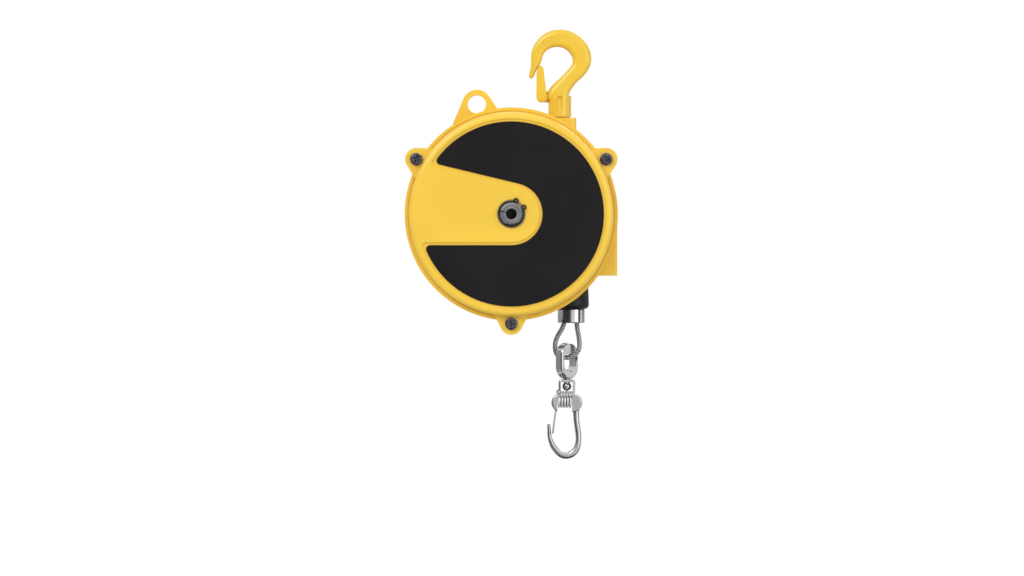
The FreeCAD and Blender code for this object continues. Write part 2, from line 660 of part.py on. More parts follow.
def rear_bush():
    """Flanged bush pressed into the rear case's hub."""
    body = rod(BUSH_R, 0, 0, REAR_INSIDE_Y, REAR_Y)
    body = body.fuse(rod(BUSH_FLANGE_R, 0, 0, REAR_INSIDE_Y - BUSH_FLANGE_T, REAR_INSIDE_Y))
    return body.cut(rod(SHAFT_R + SHAFT_RUNNING, 0, 0, 0, REAR_Y))


def clip_groove_y(outward):
    """Front face of a circlip; outward is -1 at the front and +1 at the rear."""
    return FRONT_Y - CLIP_GAP - CLIP_T if outward < 0 else REAR_Y + CLIP_GAP


def main_shaft():
    """Main shaft with a hex socket and slit in front, a spring slot, a keyway and two clip grooves."""
    body = rod(SHAFT_R, 0, 0, SHAFT_FRONT_Y, SHAFT_REAR_Y)
    ends = [e for e in body.Edges if e.BoundBox.YLength < 1e-6]
    body = body.makeChamfer(SHAFT_CHAMFER, ends)
    body = body.cut(prism(SOCKET_FLATS, 6, SHAFT_FRONT_Y, SHAFT_FRONT_Y + SOCKET_DEPTH))
    slit = block(0, SHAFT_R, SHAFT_FRONT_Y, SHAFT_FRONT_Y + SLIT_DEPTH, -SLIT_WIDTH / 2, SLIT_WIDTH / 2)
    body = body.cut(spun(slit, SLIT_ANGLE))
    for outward in (-1, 1):
        front = clip_groove_y(outward)
        body = body.cut(ring(SHAFT_R, CLIP_GROOVE_R, front, front + CLIP_T))
    body = body.cut(key_block())
    slot_front = spring_front_y() - 0.2
    slot = block(0, SHAFT_R, slot_front, slot_front + STRIP_WIDTH + 0.4, -SPRING_SLOT / 2, SPRING_SLOT / 2)
    return body.cut(slot)


def circlip(outward):
    """External circlip with two eared ends."""
    front = clip_groove_y(outward)
    body = ring(CLIP_R, CLIP_GROOVE_R, front, front + CLIP_T)
    spread = CLIP_EAR_SPREAD
    half = spread - 5
    mouth = [(0, 0), polar(2 * CLIP_R, CLIP_OPENING - half), polar(2 * CLIP_R, CLIP_OPENING + half)]
    body = body.cut(plate(mouth, front, front + CLIP_T))
    for angle in (CLIP_OPENING - spread, CLIP_OPENING + spread):
        x, z = polar(CLIP_EAR_CIRCLE, angle)
        body = body.fuse(rod(CLIP_EAR_R, x, z, front, front + CLIP_T))
        body = body.cut(rod(CLIP_EAR_HOLE_R, x, z, front, front + CLIP_T))
    return body.removeSplitter()


def key_block():
    """Parallel key between the shaft and the ratchet wheel."""
    low = SHAFT_R - KEY_DEPTH / 2
    return block(-KEY_WIDTH / 2, KEY_WIDTH / 2, RATCHET_FRONT_Y, RATCHET_REAR_Y, low, low + KEY_DEPTH)


def shaft_spacer():
    """Spacer between the ratchet wheel and the drum's hub."""
    return ring(SPACER_R, SHAFT_R, RATCHET_REAR_Y, DRUM_HUB_FRONT_Y - END_FLOAT)


# ---------------------------------------------------------------- ratchet and pawl

def ratchet_wheel():
    """Saw-toothed wheel keyed to the shaft."""
    points = []
    for i in range(RATCHET_TEETH):
        angle = i * 360 / RATCHET_TEETH
        points.append(polar(RATCHET_ROOT_R, angle))
        points.append(polar(RATCHET_R, angle))
    wheel = plate(points, RATCHET_FRONT_Y, RATCHET_REAR_Y)
    wheel = wheel.cut(rod(SHAFT_R, 0, 0, RATCHET_FRONT_Y, RATCHET_REAR_Y))
    return wheel.cut(key_block())


def pawl_ys():
    """Front and back of the pawl."""
    front = RATCHET_FRONT_Y + (RATCHET_T - PAWL_T) / 2
    return front, front + PAWL_T


def pawl_nose():
    """Direction of the pawl's nose face about the drum axis, in degrees."""
    return PAWL_TOOTH_ANGLE - math.degrees(PAWL_GAP / RATCHET_ROOT_R)


def pawl_back():
    """The pawl's straight back, from its nose to its eye."""
    high = polar(RATCHET_R + 1.6, pawl_nose())
    return high, tangent(PAWL_PIVOT, PAWL_EYE_R, high, -1)


def ratchet_pawl():
    """Pawl that stands against one tooth of the ratchet wheel."""
    front, back = pawl_ys()
    heel = polar(RATCHET_R + 1.5, PAWL_TOOTH_ANGLE - 11)
    low = polar(RATCHET_ROOT_R + 0.8, pawl_nose() - PAWL_UNDERCUT)
    high, touch_high = pawl_back()
    touch_low = tangent(PAWL_PIVOT, PAWL_EYE_R, heel, 1)
    arm = plate([low, high, touch_high, PAWL_PIVOT, touch_low, heel], front, back)
    body = arm.fuse(rod(PAWL_EYE_R, PAWL_PIVOT[0], PAWL_PIVOT[1], front, back))
    bore = rod(PAWL_PIN_R + PAWL_PIN_CLEAR, PAWL_PIVOT[0], PAWL_PIVOT[1], front, back)
    return body.cut(bore).removeSplitter()


def pawl_pin():
    """Headed pin pressed into the cover's boss."""
    back = pawl_ys()[1] + PAWL_GAP
    x, z = PAWL_PIVOT
    body = rod(PAWL_PIN_R, x, z, COVER_INSIDE_Y, back)
    return body.fuse(rod(PAWL_PIN_R + 1.2, x, z, back, back + 1.0)).removeSplitter()


def leaf_strip(thickness, front, back):
    """Leaf spring from its slotted post to the back of the pawl's nose."""
    nose, eye = pawl_back()
    share = 0.15
    rest_z = nose[1] + share * (eye[1] - nose[1]) + PAWL_GAP + LEAF_T / 2
    rest = (nose[0] + share * (eye[0] - nose[0]), rest_z)
    knee = (LEAF_POST[0] - LEAF_STRAIGHT, LEAF_POST[1] - LEAF_T)
    line = [(LEAF_POST[0] + 1.5, LEAF_POST[1]), knee, rest]
    upper = [(x, z + thickness / 2) for x, z in line]
    lower = [(x, z - thickness / 2) for x, z in reversed(line)]
    return plate(upper + lower, front, back)


def pawl_spring():
    """Leaf spring that keeps the pawl in the teeth."""
    front, back = pawl_ys()
    return leaf_strip(LEAF_T, front, back)


# ---------------------------------------------------------------- drum

def drum_cover_screw_places():
    """Where the drum cover's screws stand, on the drum's inside ledge."""
    radius = DRUM_CUP_R - DRUM_COVER_LEDGE / 2
    return [polar(radius, 45 + i * 360 / DRUM_COVER_SCREWS) for i in range(DRUM_COVER_SCREWS)]


def drum():
    """Rope drum: grooved wall, two flanges, a webbed front and a deep cup for the power spring."""
    groove = WINDING_R - ROPE_R - ROPE_BED
    profile = [
        (SHAFT_R + SHAFT_RUNNING + 2, DRUM_HUB_FRONT_Y), (DRUM_HUB_R, DRUM_HUB_FRONT_Y),
        (DRUM_HUB_R, DRUM_FRONT_Y), (DRUM_FLANGE_R, DRUM_FRONT_Y),
        (DRUM_FLANGE_R, DRUM_FRONT_Y + DRUM_FLANGE_T), (groove, DRUM_FRONT_Y + DRUM_FLANGE_T),
        (groove, DRUM_REAR_Y - DRUM_FLANGE_T), (DRUM_FLANGE_R, DRUM_REAR_Y - DRUM_FLANGE_T),
        (DRUM_FLANGE_R, DRUM_REAR_Y), (DRUM_CUP_R, DRUM_REAR_Y), (DRUM_CUP_R, DRUM_CUP_Y),
        (SHAFT_R + SHAFT_RUNNING + 2, DRUM_CUP_Y),
    ]
    body = turned(profile)
    for x, z in drum_cover_screw_places():
        column = rod(DRUM_COVER_LEDGE, x, z, DRUM_CUP_Y, DRUM_COVER_Y)
        body = body.fuse(column.common(rod(DRUM_CUP_R, 0, 0, DRUM_CUP_Y, DRUM_COVER_Y)))
        body = body.cut(rod(DRUM_COVER_SCREW_R, x, z, DRUM_COVER_Y - DRUM_COVER_SCREW_LENGTH, DRUM_COVER_Y))
    x, z = polar(ANCHOR_CIRCLE, 0)
    body = body.cut(rod(ANCHOR_R, x, z, DRUM_FRONT_Y, DRUM_CUP_Y))
    return body.removeSplitter()


def wire_winding():
    """Turns of rope on the drum, as one sleeve with a ridge for each turn; the first turn leaves it."""
    inner = WINDING_R - ROPE_R - ROPE_BED
    front = -ROPE_PITCH / 2
    profile = [(inner, front)]
    for i in range(ROPE_TURNS):
        y = front + i * ROPE_PITCH
        profile.append((WINDING_R, y))
        profile.append((WINDING_R + ROPE_R, y + ROPE_PITCH / 4))
        profile.append((WINDING_R + ROPE_R, y + ROPE_PITCH * 3 / 4))
    back = front + ROPE_TURNS * ROPE_PITCH
    sleeve = turned(profile + [(WINDING_R, back), (inner, back)])
    far = WINDING_R + 2 * ROPE_R
    leaving = block(0, far, front, front + ROPE_PITCH, -far, 0)
    return sleeve.cut(leaving)


def drum_cover():
    """Disc that closes the drum's cup and carries its rear bearing."""
    body = ring(DRUM_CUP_R - 0.1, SHAFT_R + SHAFT_RUNNING + 2, DRUM_COVER_Y, DRUM_REAR_Y)
    hub_back = REAR_INSIDE_Y - BUSH_FLANGE_T - END_FLOAT
    body = body.fuse(ring(DRUM_HUB_R, SHAFT_R + SHAFT_RUNNING + 2, DRUM_COVER_Y - 3, hub_back))
    for x, z in drum_cover_screw_places():
        body = body.cut(rod(DRUM_COVER_SCREW_R, x, z, DRUM_COVER_Y, DRUM_REAR_Y))
    x, z = polar(ANCHOR_CIRCLE, 0)
    return body.cut(rod(ANCHOR_R, x, z, DRUM_COVER_Y, DRUM_REAR_Y)).removeSplitter()


def drum_bearing(front, back):
    """Plain bearing sleeve between the drum and the shaft."""
    return ring(SHAFT_R + SHAFT_RUNNING + 2, SHAFT_R + SHAFT_RUNNING, front, back)


def drum_cover_screws():
    """Button-head screws of the drum cover."""
    screws = []
    seat = DRUM_REAR_Y
    for x, z in drum_cover_screw_places():
        body = rod(DRUM_COVER_SCREW_R, x, z, seat - DRUM_COVER_SCREW_LENGTH, seat)
        head = rod(DRUM_COVER_SCREW_HEAD_R, x, z, seat, seat + 1.4)
        rim = [e for e in head.Edges if abs(e.BoundBox.YMin - seat - 1.4) < 1e-6]
        screws.append(body.fuse(head.makeFillet(0.8, rim)).removeSplitter())
    return screws


def spring_front_y():
    """Front edge of the power spring's strip."""
    room = DRUM_COVER_Y - 3 - DRUM_CUP_Y
    return DRUM_CUP_Y + (room - STRIP_WIDTH) / 2


def power_spring():
    """Flat spiral spring: a tang in the shaft's slot, a few open turns, and an eye on the anchor pin."""
    front = spring_front_y()
    back = front + STRIP_WIDTH
    step = (SPRING_OUTER_R - SPRING_INNER_R) / SPRING_TURNS / 2
    halves = []
    for i in range(int(2 * SPRING_TURNS)):
        upward = i % 2 == 0
        centre = 0.0 if upward else step
        radius = SPRING_INNER_R + i * step
        strip = ring(radius + STRIP_T / 2, radius - STRIP_T / 2, front, back, centre)
        far = 2 * SPRING_OUTER_R
        low = 0 if upward else -far
        halves.append(strip.common(block(-far, far, front, back, low, low + far)))
    tang = block(SHAFT_R / 2, SPRING_INNER_R + STRIP_T / 2, front, back, -STRIP_T / 2, STRIP_T / 2)
    x, z = polar(ANCHOR_CIRCLE, 0)
    bore = ANCHOR_R + ANCHOR_CLEAR
    eye = ring(bore + STRIP_T, bore, front, back, x, z)
    return halves[0].fuse(halves[1:] + [tang, eye]).removeSplitter()


def spring_anchor_pin():
    """Pin across the drum's cup that holds the power spring's outer end."""
    x, z = polar(ANCHOR_CIRCLE, 0)
    return rod(ANCHOR_R, x, z, DRUM_FRONT_Y, DRUM_REAR_Y)


# ---------------------------------------------------------------- rope, outlet and loop

def outlet_guide():
    """Nylon guide with a flared mouth, seated in the outlet's floor."""
    body = post(GUIDE_R, ROPE_X, 0, POCKET_TOP_Z, GUIDE_TOP_Z)
    seat = POCKET_TOP_Z + POCKET_WALL
    body = body.fuse(post(GUIDE_FLANGE_R, ROPE_X, 0, seat, seat + GUIDE_FLANGE_T))
    body = body.cut(post(GUIDE_BORE_R, ROPE_X, 0, POCKET_TOP_Z, GUIDE_TOP_Z))
    flare = Part.makeCone(GUIDE_BORE_R, GUIDE_MOUTH_R, 3.0, V(ROPE_X, 0, GUIDE_TOP_Z - 3.0), UP)
    return body.cut(flare).removeSplitter()


def wire_run():
    """Rope from the drum down to the ferrule."""
    return post(ROPE_R, ROPE_X, 0, FERRULE_TOP_Z - FERRULE_GRIP, 0)


def rubber_bumper():
    """Rubber stop on the rope above the ferrule, slightly tapered, with a rounded foot."""
    body = Part.makeCone(BUMPER_R, BUMPER_TOP_R, BUMPER_LENGTH, V(ROPE_X, 0, BUMPER_BOTTOM_Z), UP)
    foot = [e for e in body.Edges if abs(e.BoundBox.ZMax - BUMPER_BOTTOM_Z) < 1e-6]
    body = body.makeFillet(BUMPER_ROUND, foot)
    return body.cut(post(ROPE_R + ROPE_GRIP_CLEAR, ROPE_X, 0, BUMPER_BOTTOM_Z, BUMPER_TOP_Z))


def wire_ferrule():
    """Round crimped ferrule: one rope in at the top, the two strands of the loop out below."""
    body = post(FERRULE_R, ROPE_X, 0, FERRULE_BOTTOM_Z, FERRULE_TOP_Z)
    rims = [e for e in body.Edges if e.BoundBox.ZLength < 1e-6]
    body = body.makeChamfer(FERRULE_EDGE, rims)
    body = body.cut(post(ROPE_R, ROPE_X, 0, FERRULE_TOP_Z - FERRULE_GRIP, FERRULE_TOP_Z))
    for x in (STRAND_LEFT_X, STRAND_RIGHT_X):
        body = body.cut(post(ROPE_R, x, 0, FERRULE_BOTTOM_Z, FERRULE_BOTTOM_Z + FERRULE_GRIP))
    return body


def wire_loop():
    """Loop of rope below the ferrule."""
    left = PENDANT_X - LOOP_R
    right = PENDANT_X + LOOP_R
    top = FERRULE_BOTTOM_Z + FERRULE_GRIP
    neck = FERRULE_BOTTOM_Z - LOOP_NECK_DROP
    shoulder = FERRULE_BOTTOM_Z - LOOP_SHOULDER_DROP
    points = [
        (STRAND_LEFT_X, top), (STRAND_LEFT_X, neck), (left, shoulder), (left, LOOP_BOTTOM_Z),
        (right, LOOP_BOTTOM_Z), (right, shoulder), (STRAND_RIGHT_X, neck), (STRAND_RIGHT_X, top),
    ]
    bends = [LOOP_LEFT_BEND_R] * 2 + [LOOP_R] * 2 + [LOOP_RIGHT_BEND_R] * 2
    return swept_rod(rounded_path(points, bends), ROPE_R)


# ---------------------------------------------------------------- swivel

def swivel_eye():
    """Forged stirrup that hangs on the rope loop, with a round floor for the swivel stem."""
    half = STIRRUP_WIDTH / 2
    deep = STIRRUP_T / 2
    body = block(-half, half, -deep, deep, STIRRUP_BOTTOM_Z + half, STIRRUP_TOP_Z - half)
    for z in (STIRRUP_TOP_Z - half, STIRRUP_BOTTOM_Z + half):
        body = body.fuse(rod(half, 0, z, -deep, deep))
    body = body.removeSplitter()
    rims = [e for e in body.Edges if e.BoundBox.YLength < 1e-6]
    body = body.makeFillet(STIRRUP_EDGE_ROUND, rims)
    inside = half - STIRRUP_ARM
    ceiling = LOOP_BOTTOM_Z + ROPE_R + ROPE_SEAT_GAP
    window = block(-inside, inside, -deep, deep, STIRRUP_FLOOR_Z + inside, ceiling)
    window = window.fuse(rod(inside, 0, STIRRUP_FLOOR_Z + inside, -deep, deep))
    window = window.fuse(post(STEM_RIVET_R, 0, 0, STIRRUP_FLOOR_Z, ceiling))
    body = body.cut(window)
    body = body.cut(post(STEM_R, 0, 0, STIRRUP_BOTTOM_Z, STIRRUP_FLOOR_Z))
    body.rotate(V(0, 0, 0), UP, 90 - STIRRUP_TURN)
    body.translate(V(PENDANT_X, 0, 0))
    saddle_major = LOOP_R - ROPE_R - ROPE_SEAT_GAP + STIRRUP_SADDLE_R
    saddle = Part.makeTorus(saddle_major, STIRRUP_SADDLE_R, V(PENDANT_X, 0, LOOP_BOTTOM_Z + LOOP_R), DEPTH)
    return body.cut(saddle).removeSplitter()


def swivel_stem():
    """Stem riveted over in the stirrup, with a ball head that carries the snap hook."""
    body = post(STEM_R, PENDANT_X, 0, STEM_BALL_Z, STIRRUP_FLOOR_Z)
    rivet = Part.makeCone(STEM_RIVET_R, STEM_R, STEM_RIVET_T, V(PENDANT_X, 0, STIRRUP_FLOOR_Z), UP)
    ball = Part.makeSphere(STEM_BALL_R, V(PENDANT_X, 0, STEM_BALL_Z))
    return body.fuse([rivet, ball]).removeSplitter()


# ---------------------------------------------------------------- snap hook

def snap_arm():
    """The J-shaped arm of the snap hook, thinning to its tip."""
    stations = [(PENDANT_X + x, SNAP_SHOULDER_Z - drop, t, t) for x, drop, t in ARM]
    return forged_bar(stations, 0.96)


def snap_body():
    """Forged body: neck round the stem's ball, shoulders with the spring window, and the arm."""
    x = PENDANT_X
    deep = SNAP_DEPTH / 2
    top = STIRRUP_BOTTOM_Z - SNAP_TOP_GAP
    body = block(x - SNAP_NECK_HALF, x + SNAP_NECK_HALF, -deep, deep, SNAP_SHOULDER_Z, top)
    upper = [e for e in body.Edges if e.BoundBox.YLength > 1 and e.CenterOfMass.z > top - 1]
    body = body.makeFillet(SNAP_NECK_ROUND, upper)
    for side in (-1, 1):
        body = body.fuse(rod(SNAP_SHOULDER_R, x + side * SNAP_SHOULDER_HALF, SNAP_SHOULDER_Z, -deep, deep))
    body = body.removeSplitter()
    rims = [e for e in body.Edges if e.BoundBox.YLength < 1e-6]
    body = body.makeFillet(SNAP_EDGE_ROUND, rims)
    window_left = x + SNAP_WINDOW_LEFT
    window_right = x + SNAP_WINDOW_RIGHT
    below = SNAP_SHOULDER_Z - SNAP_SHOULDER_R - 1
    body = body.cut(block(window_left, window_right, -deep, deep, below, SNAP_SHOULDER_Z + SNAP_WINDOW_RISE))
    room_bottom = STEM_BALL_Z - SNAP_BALL_ROOM
    wide = SNAP_ROOM_HALF
    body = body.cut(block(x - wide, x + wide, -deep, deep, room_bottom, top - SNAP_BRIDGE_T))
    body = body.cut(post(STEM_R + STEM_CLEAR, x, 0, room_bottom, top))
    slot = GATE_SLOT / 2
    slot_top = GATE_PIVOT_Z + GATE_KNUCKLE_R + 0.3
    slot_right = x + GATE_PIVOT_X + GATE_KNUCKLE_R + 0.4
    body = body.cut(block(x - 2 * SNAP_SHOULDER_R, slot_right, -slot, slot, below, slot_top))
    body = body.fuse(snap_arm())
    pivot = x + GATE_PIVOT_X
    return body.cut(rod(GATE_PIN_R, pivot, GATE_PIVOT_Z, -deep, deep)).removeSplitter()


def snap_gate():
    """Spring-loaded gate that swings inward on its pin."""
    x = PENDANT_X + GATE_PIVOT_X
    half = GATE_T / 2
    wide = GATE_WIDTH / 2
    line = [(x, GATE_PIVOT_Z)] + [(x + dx, GATE_PIVOT_Z - drop) for dx, drop in GATE_LINE]
    left = [(px - half, pz) for px, pz in line]
    right = [(px + half, pz) for px, pz in reversed(line)]
    strip = plate(left + right, -wide, wide)
    body = strip.fuse(rod(GATE_KNUCKLE_R, x, GATE_PIVOT_Z, -wide, wide))
    bore = rod(GATE_PIN_R + GATE_PIN_CLEAR, x, GATE_PIVOT_Z, -wide, wide)
    return body.cut(bore).removeSplitter()


def gate_pin():
    """Pin that the gate turns on."""
    deep = SNAP_DEPTH / 2
    return rod(GATE_PIN_R, PENDANT_X + GATE_PIVOT_X, GATE_PIVOT_Z, -deep, deep)


def gate_spring():
    """Coil spring between the body and the gate."""
    length = GATE_SPRING_PITCH * GATE_SPRING_TURNS
    helix = Part.makeHelix(GATE_SPRING_PITCH, length, GATE_SPRING_R)
    path = Part.Wire(helix.Edges)
    section = Part.Wire(Part.makeCircle(GATE_SPRING_WIRE_R, V(GATE_SPRING_R, 0, 0), DEPTH))
    coil = path.makePipeShell([section], True, True)
    coil.rotate(V(0, 0, 0), DEPTH, 90)
    end = PENDANT_X + SNAP_WINDOW_RIGHT - GATE_SPRING_WIRE_R
    coil.translate(V(end - length, 0, SNAP_SHOULDER_Z + GATE_SPRING_RISE))
    return coil


# ---------------------------------------------------------------- top hook

def top_hook():
    """Forged safety hook: threaded stud, barrel with two reliefs, leaning neck and open bowl."""
    stud_end = HOOK_BOSS_BOTTOM - HOOK_WASHER_T - HOOK_NUT_T - HOOK_STUD_BELOW
    bottom = HOOK_BOSS_TOP + HOOK_SEAT_GAP
    body = post(HOOK_BARREL_R, HOOK_X, 0, bottom, HOOK_BARREL_TOP)
    body = body.makeChamfer(HOOK_BARREL_CHAMFER, [e for e in body.Edges if e.BoundBox.ZMax < bottom + 1e-6])
    body = body.fuse(post(HOOK_STUD_R, HOOK_X, 0, stud_end, bottom))
    neck_side = HOOK_BARREL_R - HOOK_NECK_TUCK
    root_depth = HOOK_NECK_DEPTH - HOOK_NECK_TUCK
    stations = [(HOOK_X, HOOK_BARREL_TOP - HOOK_NECK_ROOT, 2 * neck_side, root_depth)]
    stations += HOOK_NECK
    stations += bowl_stations()
    stations += HOOK_TIP
    body = body.fuse(forged_bar(stations, 0.62))
    feet = [(HOOK_X, LATCH_Z + LATCH_LUG_FOOT), (HOOK_X, LATCH_Z - LATCH_LUG_FOOT)]
    half = LATCH_LUG_T / 2
    lug = tapered_lug((LATCH_X, LATCH_Z), LATCH_LUG_R, feet[0], feet[1], -half, half)
    body = body.fuse(lug)
    body = body.cut(latch_recess())
    for side in (-1, 1):
        y = side * (HOOK_BARREL_R + HOOK_RELIEF_OUT)
        groove = post(HOOK_RELIEF_R, HOOK_X, y, HOOK_RELIEF_BOTTOM, HOOK_BARREL_TOP)
        ends = [e for e in groove.Edges if e.BoundBox.ZLength < 1e-6]
        body = body.cut(groove.makeFillet(HOOK_RELIEF_R * 0.9, ends))
    body = body.cut(rod(LATCH_PIN_R, LATCH_X, LATCH_Z, -LATCH_LUG_T, LATCH_LUG_T))
    return body.removeSplitter()


def latch_recess():
    """What the latch's two cheeks sweep out of the hook's neck when it opens."""
    top_x, top_z = LATCH_LINE[-1]
    heel = LATCH_X + LATCH_FOOT_R
    near = [(LATCH_X, top_z), (LATCH_X, LATCH_Z)]
    outline = near + [(heel + LATCH_ROOM, LATCH_Z), (top_x + LATCH_ROOM, top_z)]
    tongue = LATCH_INSIDE / 2 - LATCH_ROOM
    cheeks = plate(outline, -HOOK_NECK_DEPTH, HOOK_NECK_DEPTH).cut(plate(outline, -tongue, tongue))
    cheeks.rotate(V(LATCH_X, 0, LATCH_Z), DEPTH, LATCH_SWING)
    return cheeks


def bowl_stations():
    """Stations round the bowl, between its inside and outside rounds."""
    stations = []
    for angle in (0, 30, 60, 90, 120, 150, 180):
        turn = math.radians(angle)
        inner = (BOWL_X + BOWL_R * math.cos(turn), BOWL_Z + BOWL_R * math.sin(turn))
        outer = (BOWL_BACK_X + BOWL_BACK_R * math.cos(turn), BOWL_BACK_Z + BOWL_BACK_R * math.sin(turn))
        width = math.hypot(outer[0] - inner[0], outer[1] - inner[1])
        thin = max(0.0, (angle - 90) / 90)
        depth = BOWL_DEPTH - thin * 2.6
        stations.append(((inner[0] + outer[0]) / 2, (inner[1] + outer[1]) / 2, width, depth))
    return stations


def hook_washer():
    """Thrust washer under the hook's nut."""
    top = HOOK_BOSS_BOTTOM - HOOK_SEAT_GAP
    body = post(HOOK_WASHER_R, HOOK_X, 0, top - HOOK_WASHER_T, top)
    return body.cut(post(HOOK_STUD_R, HOOK_X, 0, 0, HOOK_BOSS_TOP))


def hook_nut():
    """Hex nut that keeps the hook in the case."""
    top = HOOK_BOSS_BOTTOM - HOOK_SEAT_GAP - HOOK_WASHER_T
    body = prism(HOOK_NUT_FLATS, 6, 0, HOOK_NUT_T)
    body.rotate(V(0, 0, 0), ACROSS, 90)
    body.translate(V(HOOK_X, 0, top - HOOK_NUT_T))
    return body.cut(post(HOOK_STUD_R, HOOK_X, 0, 0, HOOK_BOSS_TOP))


def latch_pin():
    """Riveted pin through the latch and the hook's lug."""
    wide = LATCH_INSIDE / 2 + LATCH_SHEET
    body = rod(LATCH_PIN_R, LATCH_X, LATCH_Z, -wide, wide)
    for y in (-wide - 0.8, wide):
        body = body.fuse(rod(LATCH_PIN_R + 0.7, LATCH_X, LATCH_Z, y, y + 0.8))
    return body.removeSplitter()


def hook_latch():
    """Sheet-metal channel latch: two cheeks and a web that rests inside the hook's tip."""
    wide = LATCH_INSIDE / 2 + LATCH_SHEET
    heel = LATCH_X + LATCH_FOOT_R - 0.4
    outline = [(LATCH_X - LATCH_FOOT_R, LATCH_Z)] + LATCH_LINE + [(heel, LATCH_Z + 1.0)]
    body = plate(outline, -wide, wide).fuse(rod(LATCH_FOOT_R, LATCH_X, LATCH_Z, -wide, wide))
    inside = LATCH_INSIDE / 2
    far = LATCH_X + 2 * LATCH_FOOT_R
    left = LATCH_X - LATCH_FOOT_R + LATCH_SHEET
    web = [(x + LATCH_SHEET, z - LATCH_SHEET / 2) for x, z in LATCH_LINE[:3]]
    below = LATCH_Z - 2 * LATCH_FOOT_R
    hollow = [(left, below), (left, LATCH_Z)] + web + [(far, web[-1][1]), (far, below)]
    body = body.cut(plate(hollow, -inside, inside))
    foot = block(LATCH_X - 2 * LATCH_FOOT_R, LATCH_X, -inside, inside, below, LATCH_Z + LATCH_LUG_R)
    body = body.cut(foot)
    return body.cut(rod(LATCH_PIN_R + LATCH_PIN_CLEAR, LATCH_X, LATCH_Z, -wide, wide)).removeSplitter()


def latch_spring():
    """Torsion spring round the latch pin, beside the hook's lug."""
    pitch = 2 * LATCH_SPRING_WIRE_R + 0.1
    radius = LATCH_PIN_R + LATCH_SPRING_WIRE_R + 0.05
    helix = Part.makeHelix(pitch, pitch * LATCH_SPRING_TURNS, radius)
    section = Part.Wire(Part.makeCircle(LATCH_SPRING_WIRE_R, V(radius, 0, 0), DEPTH))
    coil = Part.Wire(helix.Edges).makePipeShell([section], True, True)
    coil.rotate(V(0, 0, 0), ACROSS, -90)
    coil.translate(V(LATCH_X, LATCH_LUG_T / 2 + LATCH_SPRING_WIRE_R + 0.05, LATCH_Z))
    return coil


# ---------------------------------------------------------------- nodes

def main():
    """Write every node."""
    os.makedirs("parts", exist_ok=True)
    export("front_cover", front_cover())
    export("label_plate", label_plate())
    export("cover_screws", *cover_screws())
    export("rear_case", rear_case())
    export("front_bush", front_bush())
    export("rear_bush", rear_bush())
    export("main_shaft", main_shaft())
    export("front_circlip", circlip(-1))
    export("rear_circlip", circlip(1))
    export("shaft_key", key_block())
    export("shaft_spacer", shaft_spacer())
    export("ratchet_wheel", ratchet_wheel())
    export("ratchet_pawl", ratchet_pawl())
    export("pawl_pin", pawl_pin())
    export("pawl_spring", pawl_spring())
    export("drum", drum())
    export("wire_winding", wire_winding())
    export("drum_cover", drum_cover())
    export("drum_bearing_front", drum_bearing(DRUM_HUB_FRONT_Y, DRUM_CUP_Y))
    export("drum_bearing_rear", drum_bearing(DRUM_COVER_Y - 3, REAR_INSIDE_Y - BUSH_FLANGE_T - END_FLOAT))
    export("drum_cover_screws", *drum_cover_screws())
    export("power_spring", power_spring())
    export("spring_anchor_pin", spring_anchor_pin())
    export("outlet_guide", outlet_guide())
    export("wire_run", wire_run())
    export("rubber_bumper", rubber_bumper())
    export("wire_ferrule", wire_ferrule())
    export("wire_loop", wire_loop())
    export("swivel_eye", swivel_eye())
    export("swivel_stem", swivel_stem())
    export("snap_body", snap_body())
    export("snap_gate", snap_gate())
    export("gate_pin", gate_pin())
    export("gate_spring", gate_spring())
    export("top_hook", top_hook())
    export("hook_washer", hook_washer())
    export("hook_nut", hook_nut())
    export("latch_pin", latch_pin())
    export("hook_latch", hook_latch())
    export("latch_spring", latch_spring())


main()
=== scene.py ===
import json
import math

import bmesh
import bpy
from bpy.props import FloatProperty, FloatVectorProperty, IntProperty, PointerProperty
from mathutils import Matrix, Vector


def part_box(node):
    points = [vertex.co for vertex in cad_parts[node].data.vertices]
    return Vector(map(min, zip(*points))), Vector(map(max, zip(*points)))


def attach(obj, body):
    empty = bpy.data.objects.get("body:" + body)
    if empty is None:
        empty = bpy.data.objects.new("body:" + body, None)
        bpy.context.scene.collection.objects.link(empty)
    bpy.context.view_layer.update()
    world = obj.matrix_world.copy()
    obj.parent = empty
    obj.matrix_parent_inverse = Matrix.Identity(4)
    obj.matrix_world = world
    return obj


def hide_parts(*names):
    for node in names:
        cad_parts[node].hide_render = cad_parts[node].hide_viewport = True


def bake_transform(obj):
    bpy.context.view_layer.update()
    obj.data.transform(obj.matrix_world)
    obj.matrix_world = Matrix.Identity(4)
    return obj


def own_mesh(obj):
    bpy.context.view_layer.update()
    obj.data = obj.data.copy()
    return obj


bl_info = {
    "name": "Spring Tool Balancer",
    "version": (1, 1, 0),
    "blender": (4, 5, 0),
    "location": "View3D > Sidebar > Balancer",
    "description": "Dresses the packed balancer with its paint, plating, rope and studio",
    "category": "Object",
}

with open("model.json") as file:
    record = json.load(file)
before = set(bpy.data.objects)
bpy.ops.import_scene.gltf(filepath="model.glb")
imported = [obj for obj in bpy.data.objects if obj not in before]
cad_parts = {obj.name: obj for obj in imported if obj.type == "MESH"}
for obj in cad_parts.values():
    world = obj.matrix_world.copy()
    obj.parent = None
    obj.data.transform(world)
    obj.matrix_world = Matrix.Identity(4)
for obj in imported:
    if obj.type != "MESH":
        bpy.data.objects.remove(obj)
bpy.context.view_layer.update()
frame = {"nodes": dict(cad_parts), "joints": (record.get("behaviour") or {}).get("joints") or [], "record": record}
JOINTS = {joint["name"]: joint for joint in frame["joints"]}
NODES = frame["nodes"]
DRUM_AXIS = Vector(JOINTS["drum_spin"]["pos_m"])
MM = 0.001
TURN = 2 * math.pi

